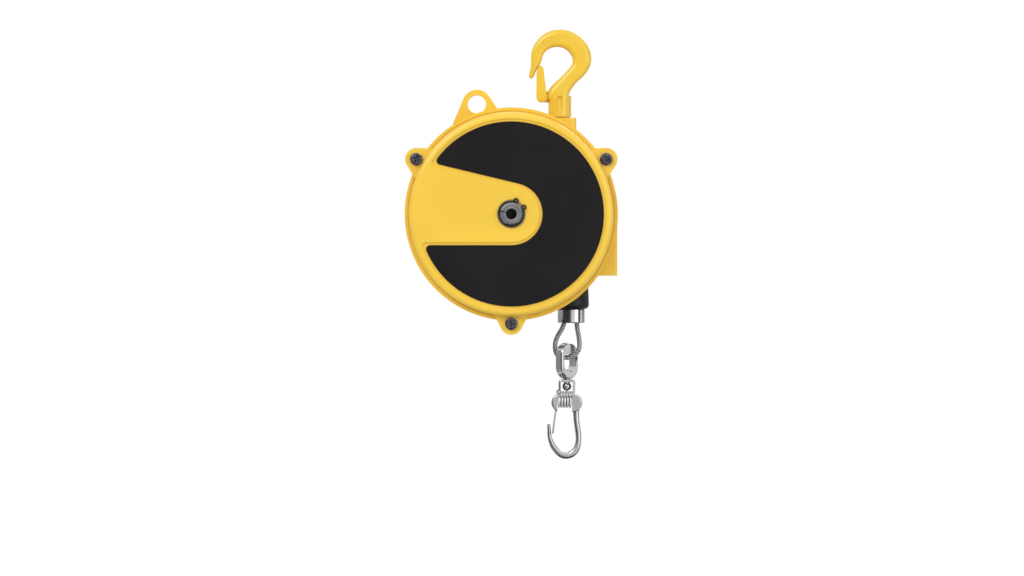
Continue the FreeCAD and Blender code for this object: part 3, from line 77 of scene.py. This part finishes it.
# Lengths below are in metres, unless a line says otherwise.
FINE_GRAIN = 0.000004       # depth of the marks in bright plate
ROPE_STEP = 0.0004          # between the rings of the rope's meshes
RUN_SIDES = 32              # faces round the straight rope
STRAND_SIDES = 12           # faces round a strand of the loop
CORE_SIDES = 8              # faces round the loop's core
CORE_SHARE = 0.8            # the core's radius over that of the circle that the strands lie on
WIRE_LAY_SHARE = 0.35       # the lay of a strand's wires over that of the strands
SHOULDER_DROP = 0.0014      # from the ferrule to where the loop starts to spread
KNEE_DROP = 0.0106          # from the ferrule to where the loop is widest
COIL_STEPS = 320            # rings along the gate spring
COIL_SIDES = 16             # faces round its wire
FLOOR_RADIUS = 8.0
FLOOR_SEGMENTS = 96         # sides of the round floor
FLOOR_WHITE = 0.8           # the floor's share of plain white in the camera and in gloss
FLAG_STEPS = 12             # flat panels in each flag
SENSOR_WIDTH = 36.0         # the camera's, in millimetres
LOOK_AT = (0.45, 0, -47.2)  # the middle of the view, in millimetres about the drum axis


def drawn(x, y, z):
    """A point given in millimetres about the drum axis, in the frame."""
    return DRUM_AXIS + Vector((x, y, z)) * MM


# ---------------------------------------------------------------- shader graph

class Field:
    """A shader value that adds Math nodes when it is used in an expression."""

    def __init__(self, graph, socket):
        self.graph = graph
        self.socket = socket

    def _with(self, operation, first, second=None):
        values = {0: first} if second is None else {0: first, 1: second}
        return self.graph.add("ShaderNodeMath", {"operation": operation}, values)

    def __add__(self, other):
        return self._with("ADD", self, other)

    def __radd__(self, other):
        return self._with("ADD", other, self)

    def __sub__(self, other):
        return self._with("SUBTRACT", self, other)

    def __rsub__(self, other):
        return self._with("SUBTRACT", other, self)

    def __mul__(self, other):
        return self._with("MULTIPLY", self, other)

    def __pow__(self, other):
        return self._with("POWER", self, other)

    def sine(self):
        """The sine of the value, in radians."""
        return self._with("SINE", self)

    def wave(self):
        """The sine of the value, moved to the range from 0 to 1."""
        return self.sine() * 0.5 + 0.5

    def clamped(self):
        """The value kept from 0 to 1."""
        return self.graph.add("ShaderNodeClamp", {}, {"Value": self}, "Result")

    def ramp(self, low, high):
        """The value's smooth way from 0 at low to 1 at high."""
        values = {"Value": self, "From Min": low, "From Max": high}
        return self.graph.add("ShaderNodeMapRange", {"interpolation_type": "SMOOTHSTEP"}, values, "Result")

    def other(self, name):
        """Another output of the same node."""
        return Field(self.graph, self.socket.node.outputs[name])


class Graph:
    """The nodes of one material or world."""

    def __init__(self, owner):
        owner.use_nodes = True
        self.tree = owner.node_tree
        self.tree.nodes.clear()

    def add(self, kind, settings, values, output=0):
        """One node: its type, its settings, the values or links of its sockets, and the output wanted."""
        node = self.tree.nodes.new(kind)
        for name, value in settings.items():
            setattr(node, name, value)
        for name, value in values.items():
            if isinstance(value, Field):
                self.tree.links.new(value.socket, node.inputs[name])
            else:
                node.inputs[name].default_value = value
        return Field(self, node.outputs[output]) if node.outputs else None

    def place(self):
        """Where a point is, in metres in the frame at rest."""
        return self.add("ShaderNodeTexCoord", {}, {}, "Object")

    def split(self, vector):
        """The three parts of a vector."""
        first = self.add("ShaderNodeSeparateXYZ", {}, {"Vector": vector}, "X")
        return first, first.other("Y"), first.other("Z")

    def noise(self, scale, detail=2.0, roughness=0.5):
        """Noise from 0 to 1, with its scale in features for each metre."""
        values = {"Vector": self.place(), "Scale": scale, "Detail": detail, "Roughness": roughness}
        return self.add("ShaderNodeTexNoise", {"noise_dimensions": "3D"}, values, "Fac")

    def blend(self, share, first, second):
        """Two colours mixed by a share."""
        return self.add("ShaderNodeMix", {"data_type": "RGBA"}, {0: share, 6: first, 7: second}, 2)

    def bump(self, height, distance):
        """A normal from a height, in metres at 1."""
        return self.add("ShaderNodeBump", {}, {"Height": height, "Distance": distance})

    def studio_rays(self):
        """1 for the rays that see the studio's plain white, 0 for the light on the object."""
        path = self.add("ShaderNodeLightPath", {}, {}, "Is Camera Ray")
        return (path + path.other("Is Glossy Ray") + path.other("Is Transmission Ray")).clamped()

    def surface(self, values):
        """Finish with a principled surface."""
        self.end(self.add("ShaderNodeBsdfPrincipled", {}, values))

    def end(self, shader, kind="ShaderNodeOutputMaterial"):
        """Finish with a shader."""
        self.add(kind, {}, {"Surface": shader})


def finish_named(name):
    """A new empty material and its graph."""
    material = bpy.data.materials.new(name)
    return material, Graph(material)


def shade(colour, amount):
    """A colour made lighter or darker."""
    return tuple(min(1.0, c * amount) for c in colour[:3]) + (1.0,)


# ---------------------------------------------------------------- finishes

def paint(name, colour, gloss, lumps, peel):
    """Thick gloss paint: lumps of the casting or forging under it, orange peel in it."""
    material, g = finish_named(name)
    cloud = g.noise(22.0, 3.0)
    fine = g.noise(900.0)
    broad = g.noise(130.0, 3.0)
    g.surface({
        "Base Color": g.blend(cloud.ramp(0.35, 0.65), shade(colour, 0.965), shade(colour, 1.02)),
        "Roughness": gloss + (g.noise(60.0) - 0.5) * 0.1,
        "Normal": g.bump(broad * lumps + fine * peel, 1.0),
        "Coat Weight": 0.25, "Coat Roughness": 0.12,
    })
    return material


def sheet_black(name, colour):
    """Satin black sheet with a very fine grain."""
    material, g = finish_named(name)
    cloud = g.noise(30.0)
    g.surface({
        "Base Color": g.blend(cloud.ramp(0.3, 0.7), shade(colour, 0.88), shade(colour, 1.12)),
        "Roughness": 0.45 + (cloud - 0.5) * 0.12, "Specular IOR Level": 0.15,
        "Normal": g.bump(g.noise(4200.0, 1.0), 0.00002),
    })
    return material


def metal(name, colour, rough, streak=0.12, stain=0.15, metallic=1.0, grain=0.00002):
    """Bare or plated metal: clouds in the colour, fine marks in the roughness."""
    material, g = finish_named(name)
    cloud = g.noise(75.0, 3.0)
    marks = g.noise(1400.0, 2.0, 0.6)
    g.surface({
        "Base Color": g.blend(cloud.ramp(0.35, 0.7), shade(colour, 1 - stain), shade(colour, 1 + stain / 2)),
        "Metallic": metallic, "Roughness": (rough + (marks + cloud - 1.0) * streak).clamped(),
        "Normal": g.bump(marks, grain),
    })
    return material


def bright_plate(name, colour, rough):
    """Bright nickel plate, with only fine handling marks."""
    return metal(name, colour, rough, 0.07, 0.12, grain=FINE_GRAIN)


def scuffed_oxide(name, colour, scuff):
    """Black oxide, worn to a grey sheen in small scuffs where a driver has turned it."""
    material, g = finish_named(name)
    cloud = g.noise(110.0, 2.0)
    marks = g.noise(900.0, 4.0, 0.7)
    worn = marks.ramp(0.46, 0.6)
    g.surface({
        "Base Color": g.blend(worn, shade(colour, 1.0), shade(scuff, 1.0)),
        "Metallic": 0.8, "Roughness": 0.42 + (cloud - 0.5) * 0.2 - worn * 0.1,
        "Normal": g.bump(marks, 0.00006),
    })
    return material


def turned_steel(name, colour, rough, pitch, band, socket_r=0.0):
    """Steel with the rings that a lathe leaves about the drum axis, and painted shade inside a socket."""
    material, g = finish_named(name)
    x, _, z = g.split(g.place())
    dx = x - DRUM_AXIS.x
    dz = z - DRUM_AXIS.z
    radius = (dx * dx + dz * dz) ** 0.5
    rings = (radius * (TURN / pitch)).sine()
    bands = (radius * (TURN / band)).wave()
    # Painted shade: inside the socket's radius the colour is near black and not metallic.
    out_of_painted_socket_shade = radius.ramp(socket_r, socket_r + 0.1 * MM)
    share = g.noise(160.0, 3.0).ramp(0.3, 0.7) * 0.4 + bands * 0.6
    tone = g.blend(share, shade(colour, 0.7), shade(colour, 1.3))
    g.surface({
        "Base Color": g.blend(out_of_painted_socket_shade, shade(colour, 0.02), tone),
        "Metallic": out_of_painted_socket_shade * 0.85, "Roughness": rough + rings * 0.05 - bands * 0.06,
        "Normal": g.bump(rings, 0.00001),
    })
    return material


def rubber(name, colour):
    """Moulded rubber, slightly bloomed."""
    material, g = finish_named(name)
    cloud = g.noise(90.0, 3.0)
    g.surface({
        "Base Color": g.blend(cloud.ramp(0.4, 0.75), shade(colour, 1.0), shade(colour, 1.8)),
        "Roughness": 0.4 + (cloud - 0.5) * 0.2, "Specular IOR Level": 0.3,
        "Normal": g.bump(g.noise(2600.0), 0.00003),
    })
    return material


def nylon(name, colour):
    """Milky machined nylon."""
    material, g = finish_named(name)
    cloud = g.noise(200.0)
    g.surface({
        "Base Color": g.blend(cloud, shade(colour, 0.93), shade(colour, 1.0)),
        "Roughness": 0.4 + (cloud - 0.5) * 0.1, "Subsurface Weight": 0.2, "Subsurface Scale": 0.002,
        "Normal": g.bump(g.noise(1500.0), 0.00001),
    })
    return material


def laid_rope(name, colour, axis, pitch, radius, strands):
    """Straight wire rope by its lay: strands of finer wires, wound round an upright axis."""
    material, g = finish_named(name)
    x, y, z = g.split(g.place())
    around = g.add("ShaderNodeMath", {"operation": "ARCTAN2"}, {0: y - axis.y, 1: x - axis.x})
    strand = around * strands - z * (strands * TURN / pitch)
    wires = (strand * 5.0 + z * (20.0 * TURN / pitch)).wave()
    groove_relief_and_painted_shade = strand.wave() ** 0.35
    g.surface({
        # Painted shade: the grooves between the strands are painted dark, down to 0.12 of the rope's colour,
        # besides their bump.
        "Base Color": g.blend(groove_relief_and_painted_shade, shade(colour, 0.12), shade(colour, 1.0)),
        "Metallic": 0.9, "Roughness": 0.42 - wires * 0.12,
        "Normal": g.bump(groove_relief_and_painted_shade * 0.9 + wires * 0.12, radius * 0.35),
    })
    return material


def strand_steel(name, colour):
    """Strands of wire rope: each strand's wires follow its own map, and its sides are painted shade."""
    material, g = finish_named(name)
    u, v, _ = g.split(g.add("ShaderNodeTexCoord", {}, {}, "UV"))
    wires = ((u * 7.0 + v) * TURN).wave()
    crown = (u * TURN + math.pi / 2).wave().ramp(0.72, 0.9)
    # Painted shade: away from its crown each strand's colour falls to near black, for the shade between the
    # strands.
    painted_light_crown = crown * (wires ** 0.5 * 0.3 + 0.7)
    g.surface({
        "Base Color": g.blend(painted_light_crown, shade(colour, 0.01), shade(colour, 0.75)),
        "Metallic": crown * 0.5 + 0.3, "Roughness": 0.55 - crown * 0.25, "Normal": g.bump(wires, 0.00003),
    })
    return material


def coil_steel(name, colour):
    """Round spring wire: painted light outside the coil, painted shade on its rougher inner side."""
    material, g = finish_named(name)
    u, _, _ = g.split(g.add("ShaderNodeTexCoord", {}, {}, "UV"))
    outer_side_painted_light = (u * TURN + math.pi / 2).wave().ramp(0.4, 0.7)
    g.surface({
        # Painted light and shade: the outer side is painted at 1.35 of the plate's colour, the inner side near
        # black.
        "Base Color": g.blend(outer_side_painted_light, shade(colour, 0.04), shade(colour, 1.35)),
        "Metallic": outer_side_painted_light * 0.4 + 0.1, "Roughness": 0.5 - outer_side_painted_light * 0.15,
    })
    return material


# ---------------------------------------------------------------- mesh helpers

def placed(name, data):
    """A new object in the scene."""
    thing = bpy.data.objects.new(name, data)
    bpy.context.scene.collection.objects.link(thing)
    return thing


def mesh_object(name, bm, *materials, smooth=True):
    """A new object in the scene from a bmesh, with its materials."""
    mesh = bpy.data.meshes.new(name)
    bm.to_mesh(mesh)
    bm.free()
    for face in mesh.polygons:
        face.use_smooth = smooth
    for material in materials:
        mesh.materials.append(material)
    return placed(name, mesh)


def path_frames(points, guides=None):
    """The side and the normal at each point of a path: towards its guides, or without twist."""
    last = len(points) - 1
    tangents = [(points[min(i + 1, last)] - points[max(i - 1, 0)]).normalized() for i in range(last + 1)]
    side = tangents[0].orthogonal().normalized()
    frames = []
    for i, tangent in enumerate(tangents):
        if guides:
            side = guides[i]
        side = (side - tangent * side.dot(tangent)).normalized()
        frames.append((side, tangent.cross(side)))
    return frames


def add_tube(bm, layer, points, radius, sides, lengths, material=0, guides=None):
    """A closed tube along a path, mapped round from its guides, and along."""
    rings = []
    for point, (side, up) in zip(points, path_frames(points, guides)):
        turns = [TURN * k / sides for k in range(sides)]
        places = [point + (side * math.cos(turn) + up * math.sin(turn)) * radius for turn in turns]
        rings.append([bm.verts.new(place) for place in places])
    for i in range(len(rings) - 1):
        for k in range(sides):
            n = (k + 1) % sides
            face = bm.faces.new((rings[i][k], rings[i][n], rings[i + 1][n], rings[i + 1][k]))
            face.material_index = material
            corners = ((k, i), (k + 1, i), (k + 1, i + 1), (k, i + 1))
            for loop, (a, b) in zip(face.loops, corners):
                loop[layer].uv = (a / sides, lengths[b])
    for end in (list(reversed(rings[0])), rings[-1]):
        bm.faces.new(end).material_index = material


def smooth_line(name, points):
    """The points of the smooth curve that a route's control points steer."""
    curve = bpy.data.curves.new(name, "CURVE")
    curve.dimensions = "3D"
    spline = curve.splines.new("NURBS")
    spline.points.add(len(points) - 1)
    for target, point in zip(spline.points, points):
        target.co = (point.x, point.y, point.z, 1.0)
    spline.order_u = 3
    spline.use_endpoint_u = True
    spline.resolution_u = 24
    route = placed(name, curve)
    mesh = bpy.data.meshes.new_from_object(route)
    line = [vertex.co.copy() for vertex in mesh.vertices]
    bpy.data.meshes.remove(mesh)
    bpy.data.objects.remove(route)
    return line


def evenly(points, step):
    """A path resampled at an even step."""
    out = [points[0].copy()]
    left = step
    for a, b in zip(points, points[1:]):
        length = (b - a).length
        done = 0.0
        while length - done > left:
            done += left
            out.append(a.lerp(b, done / length))
            left = step
        left -= length - done
    out.append(points[-1].copy())
    return out


def distances(line):
    """How far along a path each of its points lies."""
    out = [0.0]
    for a, b in zip(line, line[1:]):
        out.append(out[-1] + (b - a).length)
    return out


def laid_strands(name, line, radius, pitch, strands, *materials):
    """Rope along a path: round strands wound about a core, with a material for each."""
    bm = bmesh.new()
    layer = bm.loops.layers.uv.new("lay")
    lengths = distances(line)
    strand_r = radius * math.sin(math.pi / strands) / (1 + math.sin(math.pi / strands))
    centre_r = radius - strand_r
    along = [-length / (pitch * WIRE_LAY_SHARE) for length in lengths]
    frames = path_frames(line)
    for k in range(strands):
        turns = [TURN * (k / strands + length / pitch) for length in lengths]
        outward = [side * math.cos(turn) + up * math.sin(turn) for (side, up), turn in zip(frames, turns)]
        places = [point + out * centre_r for point, out in zip(line, outward)]
        add_tube(bm, layer, places, strand_r, STRAND_SIDES, along, guides=outward)
    add_tube(bm, layer, line, centre_r * CORE_SHARE, CORE_SIDES, lengths, 1)
    return mesh_object(name, bm, *materials)


def body_of(name):
    """The body that a CAD node belongs to."""
    return next(body for body, names in frame["record"]["behaviour"]["bodies"].items() if name in names)


def dress(material, *names):
    """Give CAD nodes a material."""
    for name in names:
        NODES[name].data.materials.clear()
        NODES[name].data.materials.append(material)


# ---------------------------------------------------------------- settings

def tint(name, description, default):
    """A colour setting."""
    return FloatVectorProperty(
        name=name, description=description, subtype="COLOR", default=default, min=0.0, max=1.0)


def size(name, description, default):
    """A length setting."""
    return FloatProperty(name=name, description=description, default=default, unit="LENGTH")


class BalancerColours(bpy.types.PropertyGroup):
    """Colours of the balancer's finishes."""
    case: tint("Case paint", "Paint of the die-cast case", (0.939, 0.611, 0.054))
    hook: tint("Hook paint", "Paint of the forged top hook and its latch", (0.880, 0.572, 0.040))
    label: tint("Label", "Bare black plate in the cover's recess", (0.0112, 0.0098, 0.0103))
    oxide: tint("Black oxide", "Cover screws and circlips", (0.05, 0.046, 0.054))
    scuff: tint("Scuffs", "Where the screws' oxide is worn", (0.22, 0.21, 0.24))
    steel: tint("Steel", "Main shaft", (0.3, 0.3, 0.31))
    zinc: tint("Zinc plate", "Nuts, washers and small pins", (0.45, 0.45, 0.46))
    bronze: tint("Bronze", "Sintered bushes", (0.5, 0.36, 0.17))
    blue: tint("Blued steel", "Power spring and pawl spring", (0.13, 0.15, 0.22))
    drum: tint("Drum", "Turned aluminium drum and its cover", (0.6, 0.6, 0.61))
    ratchet: tint("Ratchet steel", "Ratchet wheel and pawl", (0.32, 0.32, 0.33))
    nylon: tint("Nylon", "Outlet guide", (0.78, 0.76, 0.7))
    plate: tint("Nickel plate", "Ferrule, swivel and snap hook", (0.58, 0.58, 0.59))
    rope: tint("Rope", "Galvanised wire rope", (0.8, 0.8, 0.81))
    grease: tint("Rope core", "Greased core between the strands", (0.02, 0.02, 0.02))
    rubber: tint("Rubber", "Bumper", (0.006, 0.006, 0.0065))


class BalancerSizes(bpy.types.PropertyGroup):
    """Sizes that the CAD model leaves to the looks."""
    rope_diameter: size("Rope diameter", "Outside diameter of the wire rope", 0.00318)
    rope_lay: size("Rope lay", "Length in which a strand goes once round the rope", 0.0105)
    strands: IntProperty(name="Strands", description="Outer strands of the rope", default=5, min=3, max=9)
    coil_wire: size("Gate spring wire", "Diameter of the gate spring's wire", 0.0013)
    coil_turns: FloatProperty(name="Gate spring turns", description="Turns of the gate spring", default=4.4)


class BalancerStage(bpy.types.PropertyGroup):
    """Studio and camera."""
    view_width: size("View width", "Width seen at the object", 0.6564)
    distance: size("Camera distance", "From the camera to the drum axis", 5.0)
    floor_drop: size("Floor", "Height of the floor under the hook's seat", -2.1)
    ambient: FloatProperty(name="Ambient", description="Level of the even light", default=0.72, min=0, max=2)


# Flags that only reflections see: name, upright axis in millimetres right of the drum's, then in metres
# the reach from it at the lower and the upper edge, then the first and last azimuth in degrees from the
# front, then in metres the lower and upper edge about the drum axis, and last the level of grey.
FLAGS = (
    ("front_upper", 0, 1.0, 1.0, -77, 5, -0.085, 0.45, 0.05),
    ("front_lower", 0, 1.0, 1.0, -77, -7, -0.9, -0.085, 0.06),
    ("right_line", 0, 1.0, 1.0, 61, 83, -0.9, 0.45, 0.03),
    ("right_far", 0, 1.0, 1.0, 102, 150, -0.9, 0.6, 0.42),
    ("left_far", 0, 1.0, 1.0, -150, -78, -0.9, 0.6, 0.42),
    ("behind", 0, 1.0, 1.0, 172, 196, -0.9, 0.6, 0.05),
    ("below", 35, 0.01, 0.5, 0, 360, -0.6, -0.6, 0.05),
)

# Lamps: name, place and side of the square in metres, and power in watts.
LAMPS = (
    ("key", (-0.9, -1.5, 0.9), 0.9, 14.0),
    ("fill", (1.3, -1.1, 0.1), 1.0, 5.0),
    ("rim", (0.3, 1.4, 0.9), 1.0, 8.0),
)


# ---------------------------------------------------------------- studio

def lit_world(ambient):
    """White to the camera and to gloss, and a plain even level of light on the object."""
    world = bpy.data.worlds.new("studio")
    g = Graph(world)
    light = g.add("ShaderNodeBackground", {}, {"Color": (1, 1, 1, 1), "Strength": ambient})
    white = g.add("ShaderNodeBackground", {}, {"Color": (1, 1, 1, 1), "Strength": 1.0})
    mixed = g.add("ShaderNodeMixShader", {}, {0: g.studio_rays(), 1: light, 2: white})
    g.end(mixed, "ShaderNodeOutputWorld")
    return world


def pale_floor(drop):
    """A round pale floor that keeps the object's shadow."""
    material, g = finish_named("floor_pale")
    matt = g.add("ShaderNodeBsdfDiffuse", {}, {"Color": (0.86, 0.86, 0.86, 1)})
    glow = g.add("ShaderNodeEmission", {}, {"Color": (1, 1, 1, 1), "Strength": 1.0})
    g.end(g.add("ShaderNodeMixShader", {}, {0: g.studio_rays() * FLOOR_WHITE, 1: matt, 2: glow}))
    bm = bmesh.new()
    bmesh.ops.create_circle(bm, cap_ends=True, radius=FLOOR_RADIUS, segments=FLOOR_SEGMENTS)
    floor = mesh_object("floor", bm, material, smooth=False)
    floor.location = (0, 0, drop)


def glossy_flag(name, axis_x, low_reach, high_reach, start, end, low, high, level):
    """A curved grey or black panel of the backdrop that only reflections see."""
    material, g = finish_named("flag_" + name)
    g.end(g.add("ShaderNodeEmission", {}, {"Color": (level, level, level, 1), "Strength": 1.0}))
    bm = bmesh.new()
    axis = drawn(axis_x, 0, 0)
    edges = ((low_reach, low), (high_reach, high))
    columns = []
    for step in range(FLAG_STEPS + 1):
        turn = math.radians(start + (end - start) * step / FLAG_STEPS)
        outward = Vector((math.sin(turn), -math.cos(turn), 0))
        columns.append([bm.verts.new(axis + outward * far + Vector((0, 0, z))) for far, z in edges])
    for (a, b), (c, d) in zip(columns, columns[1:]):
        bm.faces.new((a, c, d, b))
    flag = mesh_object("flag_" + name, bm, material, smooth=False)
    for ray in ("camera", "diffuse", "shadow", "transmission", "volume_scatter"):
        setattr(flag, "visible_" + ray, False)


# ---------------------------------------------------------------- operators

class BALANCER_OT_stage(bpy.types.Operator):
    """Set up the floor, soft light and camera"""
    bl_idname = "balancer.stage"
    bl_label = "Studio"

    def execute(self, context):
        scene = context.scene
        stage = scene.balancer_stage
        scene.view_settings.view_transform = "Standard"
        scene.world = lit_world(stage.ambient)
        pale_floor(stage.floor_drop)
        for flag in FLAGS:
            glossy_flag(*flag)
        for name, place, side, power in LAMPS:
            lamp = bpy.data.lights.new(name, "AREA")
            lamp.shape = "SQUARE"
            lamp.size = side
            lamp.energy = power
            holder = placed(name, lamp)
            holder.location = place
            holder.rotation_euler = (DRUM_AXIS - holder.location).to_track_quat("-Z", "Y").to_euler()
        camera = bpy.data.cameras.new("camera")
        camera.type = "PERSP"
        camera.sensor_width = SENSOR_WIDTH
        camera.lens = camera.sensor_width * stage.distance / stage.view_width
        eye = placed("camera", camera)
        eye.location = drawn(*LOOK_AT) - Vector((0, stage.distance, 0))
        eye.rotation_euler = (math.radians(90), 0, 0)
        scene.camera = eye
        return {"FINISHED"}


class BALANCER_OT_case(bpy.types.Operator):
    """Paint the case and dress its label place, screws and circlips"""
    bl_idname = "balancer.case"
    bl_label = "Case"

    def execute(self, context):
        colours = context.scene.balancer_colours
        dress(paint("case_paint", colours.case, 0.34, 0.0001, 0.000012), "front_cover", "rear_case")
        # The case isn't seen in reflections, so that its yellow doesn't show in the bright plate.
        for name in ("front_cover", "rear_case"):
            NODES[name].visible_glossy = False
        dress(sheet_black("label_sheet", colours.label), "label_plate")
        dress(scuffed_oxide("black_oxide", colours.oxide, colours.scuff), "cover_screws")
        clip = metal("clip_oxide", colours.oxide, 0.36, 0.2, 0.35, 0.8, 0.00004)
        dress(clip, "front_circlip", "rear_circlip")
        return {"FINISHED"}


class BALANCER_OT_hook(bpy.types.Operator):
    """Paint the forged top hook and its latch, and plate its nut, washer and spring"""
    bl_idname = "balancer.hook"
    bl_label = "Top hook"

    def execute(self, context):
        colours = context.scene.balancer_colours
        thick = paint("hook_paint", colours.hook, 0.3, 0.00018, 0.000015)
        dress(thick, "top_hook", "hook_latch", "latch_pin")
        zinc = metal("zinc_plate", colours.zinc, 0.35)
        dress(zinc, "hook_washer", "hook_nut", "latch_spring")
        return {"FINISHED"}


class BALANCER_OT_works(bpy.types.Operator):
    """Dress the shaft, drum, power spring and ratchet"""
    bl_idname = "balancer.works"
    bl_label = "Works"

    def execute(self, context):
        colours = context.scene.balancer_colours
        bronze = metal("sintered_bronze", colours.bronze, 0.5, 0.2, 0.25)
        dress(bronze, "front_bush", "rear_bush", "drum_bearing_front", "drum_bearing_rear")
        shaft = turned_steel("shaft_steel", colours.steel, 0.34, 0.28 * MM, 3.1 * MM, 3.5 * MM)
        dress(shaft, "main_shaft")
        dress(turned_steel("drum_turned", colours.drum, 0.4, 0.9 * MM, 14 * MM), "drum", "drum_cover")
        blued = metal("blued_spring", colours.blue, 0.3, 0.2, 0.5)
        dress(blued, "power_spring")
        self.lay_leaf(blued)
        dress(metal("tooth_steel", colours.ratchet, 0.38), "ratchet_wheel", "ratchet_pawl")
        zinc = metal("pin_plate", colours.zinc, 0.35)
        dress(zinc, "shaft_key", "shaft_spacer", "drum_cover_screws", "spring_anchor_pin", "pawl_pin")
        dress(nylon("nylon", colours.nylon), "outlet_guide")
        return {"FINISHED"}

    def lay_leaf(self, blued):
        """The pawl's leaf spring, a copy of the CAD spring carried on the same body."""
        leaf = placed("pawl_leaf", NODES["pawl_spring"].data.copy())
        leaf.data.materials.clear()
        leaf.data.materials.append(blued)
        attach(leaf, body_of("pawl_spring"))
        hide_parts("pawl_spring")
        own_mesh(leaf)


class BALANCER_OT_rope(bpy.types.Operator):
    """Lay the wire rope from the drum to the ferrule, and its loop below"""
    bl_idname = "balancer.rope"
    bl_label = "Wire rope"

    def execute(self, context):
        colours = context.scene.balancer_colours
        sizes = context.scene.balancer_sizes
        dress(rubber("bumper_rubber", colours.rubber), "rubber_bumper")
        dress(bright_plate("ferrule_plate", colours.plate, 0.15), "wire_ferrule")
        rope_r = sizes.rope_diameter / 2
        ferrule_low, ferrule_high = [corner.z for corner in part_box("wire_ferrule")]
        self.lay_run(colours, sizes, rope_r, ferrule_high)
        self.lay_loop(colours, sizes, rope_r, ferrule_low)
        return {"FINISHED"}

    def lay_run(self, colours, sizes, rope_r, ferrule_high):
        """The straight run down to the ferrule, laid where the CAD run stands at rest."""
        low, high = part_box("wire_run")
        axis = (low + high) / 2
        top = Vector((axis.x, axis.y, high.z))
        line = evenly([top, Vector((axis.x, axis.y, low.z))], ROPE_STEP)
        bm = bmesh.new()
        layer = bm.loops.layers.uv.new("lay")
        add_tube(bm, layer, line, rope_r, RUN_SIDES, distances(line))
        lay = laid_rope("rope_lay", colours.rope, axis, sizes.rope_lay, rope_r, sizes.strands)
        run = mesh_object("rope_run", bm, lay)
        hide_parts("wire_run")
        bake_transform(run)
        dress(lay, "wire_winding")

    def lay_loop(self, colours, sizes, rope_r, ferrule_low):
        """The loop under the ferrule, on which the swivel eye hangs."""
        low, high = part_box("wire_loop")
        bottom = low.z + rope_r
        knee = ferrule_low - KNEE_DROP
        shoulder = ferrule_low - SHOULDER_DROP
        # Millimetres right of the drum axis, and height in the frame.
        route = [
            (34.2, high.z), (34.2, shoulder), (28.1, knee), (28.0, bottom + 3.4 * MM), (31.2, bottom),
            (38.9, bottom), (43.7, bottom + 4.6 * MM), (43.7, knee), (41.8, shoulder), (41.8, high.z),
        ]
        points = [Vector((DRUM_AXIS.x + x * MM, 0, z)) for x, z in route]
        line = evenly(smooth_line("loop_route", points), ROPE_STEP)
        steel = strand_steel("rope_strands", colours.rope)
        core = metal("rope_core", colours.grease, 0.6, 0.1, 0.3, 0.3)
        loop = laid_strands("rope_loop", line, rope_r, sizes.rope_lay, sizes.strands, steel, core)
        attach(loop, "pull")
        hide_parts("wire_loop")
        distances(line)[-1]


class BALANCER_OT_swivel(bpy.types.Operator):
    """Plate the swivel eye and the snap hook"""
    bl_idname = "balancer.swivel"
    bl_label = "Swivel and snap hook"

    def execute(self, context):
        colours = context.scene.balancer_colours
        dress(bright_plate("eye_plate", colours.plate, 0.2), "swivel_eye", "swivel_stem")
        dress(bright_plate("gate_pin_plate", colours.plate, 0.14), "gate_pin")
        self.wind_coil(context.scene.balancer_sizes, coil_steel("coil_steel", colours.plate))
        dress(bright_plate("snap_plate", colours.plate, 0.32), "snap_body", "snap_gate")
        return {"FINISHED"}

    def wind_coil(self, sizes, wire):
        """The gate's coil spring, wound where the CAD spring stands and carried on its body."""
        low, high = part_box("gate_spring")
        centre = (low + high) / 2
        wire_r = sizes.coil_wire / 2
        coil_r = (high.z - low.z) / 2 - wire_r
        length = high.x - low.x - 2 * wire_r
        shares = [i / COIL_STEPS for i in range(COIL_STEPS + 1)]
        turns = [TURN * sizes.coil_turns * (share - 0.5) for share in shares]
        outward = [Vector((0, -math.cos(turn), math.sin(turn))) for turn in turns]
        start = Vector((low.x + wire_r, centre.y, centre.z))
        line = [start + Vector((length * share, 0, 0)) + out * coil_r for share, out in zip(shares, outward)]
        bm = bmesh.new()
        layer = bm.loops.layers.uv.new("lay")
        add_tube(bm, layer, line, wire_r, COIL_SIDES, distances(line), guides=outward)
        coil = mesh_object("gate_coil", bm, wire)
        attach(coil, body_of("gate_spring"))
        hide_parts("gate_spring")
        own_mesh(coil)


PIECES = (
    BALANCER_OT_stage, BALANCER_OT_case, BALANCER_OT_hook, BALANCER_OT_works, BALANCER_OT_rope,
    BALANCER_OT_swivel,
)


# ---------------------------------------------------------------- panel and registration

class BALANCER_PT_panel(bpy.types.Panel):
    """Balancer tools"""
    bl_idname = "BALANCER_PT_panel"
    bl_label = "Balancer"
    bl_space_type = "VIEW_3D"
    bl_region_type = "UI"
    bl_category = "Balancer"

    def draw(self, context):
        for piece in PIECES:
            self.layout.operator(piece.bl_idname)


GROUPS = (
    ("balancer_colours", BalancerColours), ("balancer_sizes", BalancerSizes),
    ("balancer_stage", BalancerStage),
)


def register():
    """Add the classes and their settings."""
    for name, group in GROUPS:
        bpy.utils.register_class(group)
        setattr(bpy.types.Scene, name, PointerProperty(type=group))
    for piece in PIECES + (BALANCER_PT_panel,):
        bpy.utils.register_class(piece)


def unregister():
    """Take the classes and their settings away."""
    for piece in reversed(PIECES + (BALANCER_PT_panel,)):
        bpy.utils.unregister_class(piece)
    for name, group in reversed(GROUPS):
        delattr(bpy.types.Scene, name)
        bpy.utils.unregister_class(group)


def main():
    """Dress the balancer."""
    register()
    bpy.ops.balancer.stage()
    bpy.ops.balancer.case()
    bpy.ops.balancer.hook()
    bpy.ops.balancer.works()
    bpy.ops.balancer.rope()
    bpy.ops.balancer.swivel()


if __name__ == "__main__":
    main()
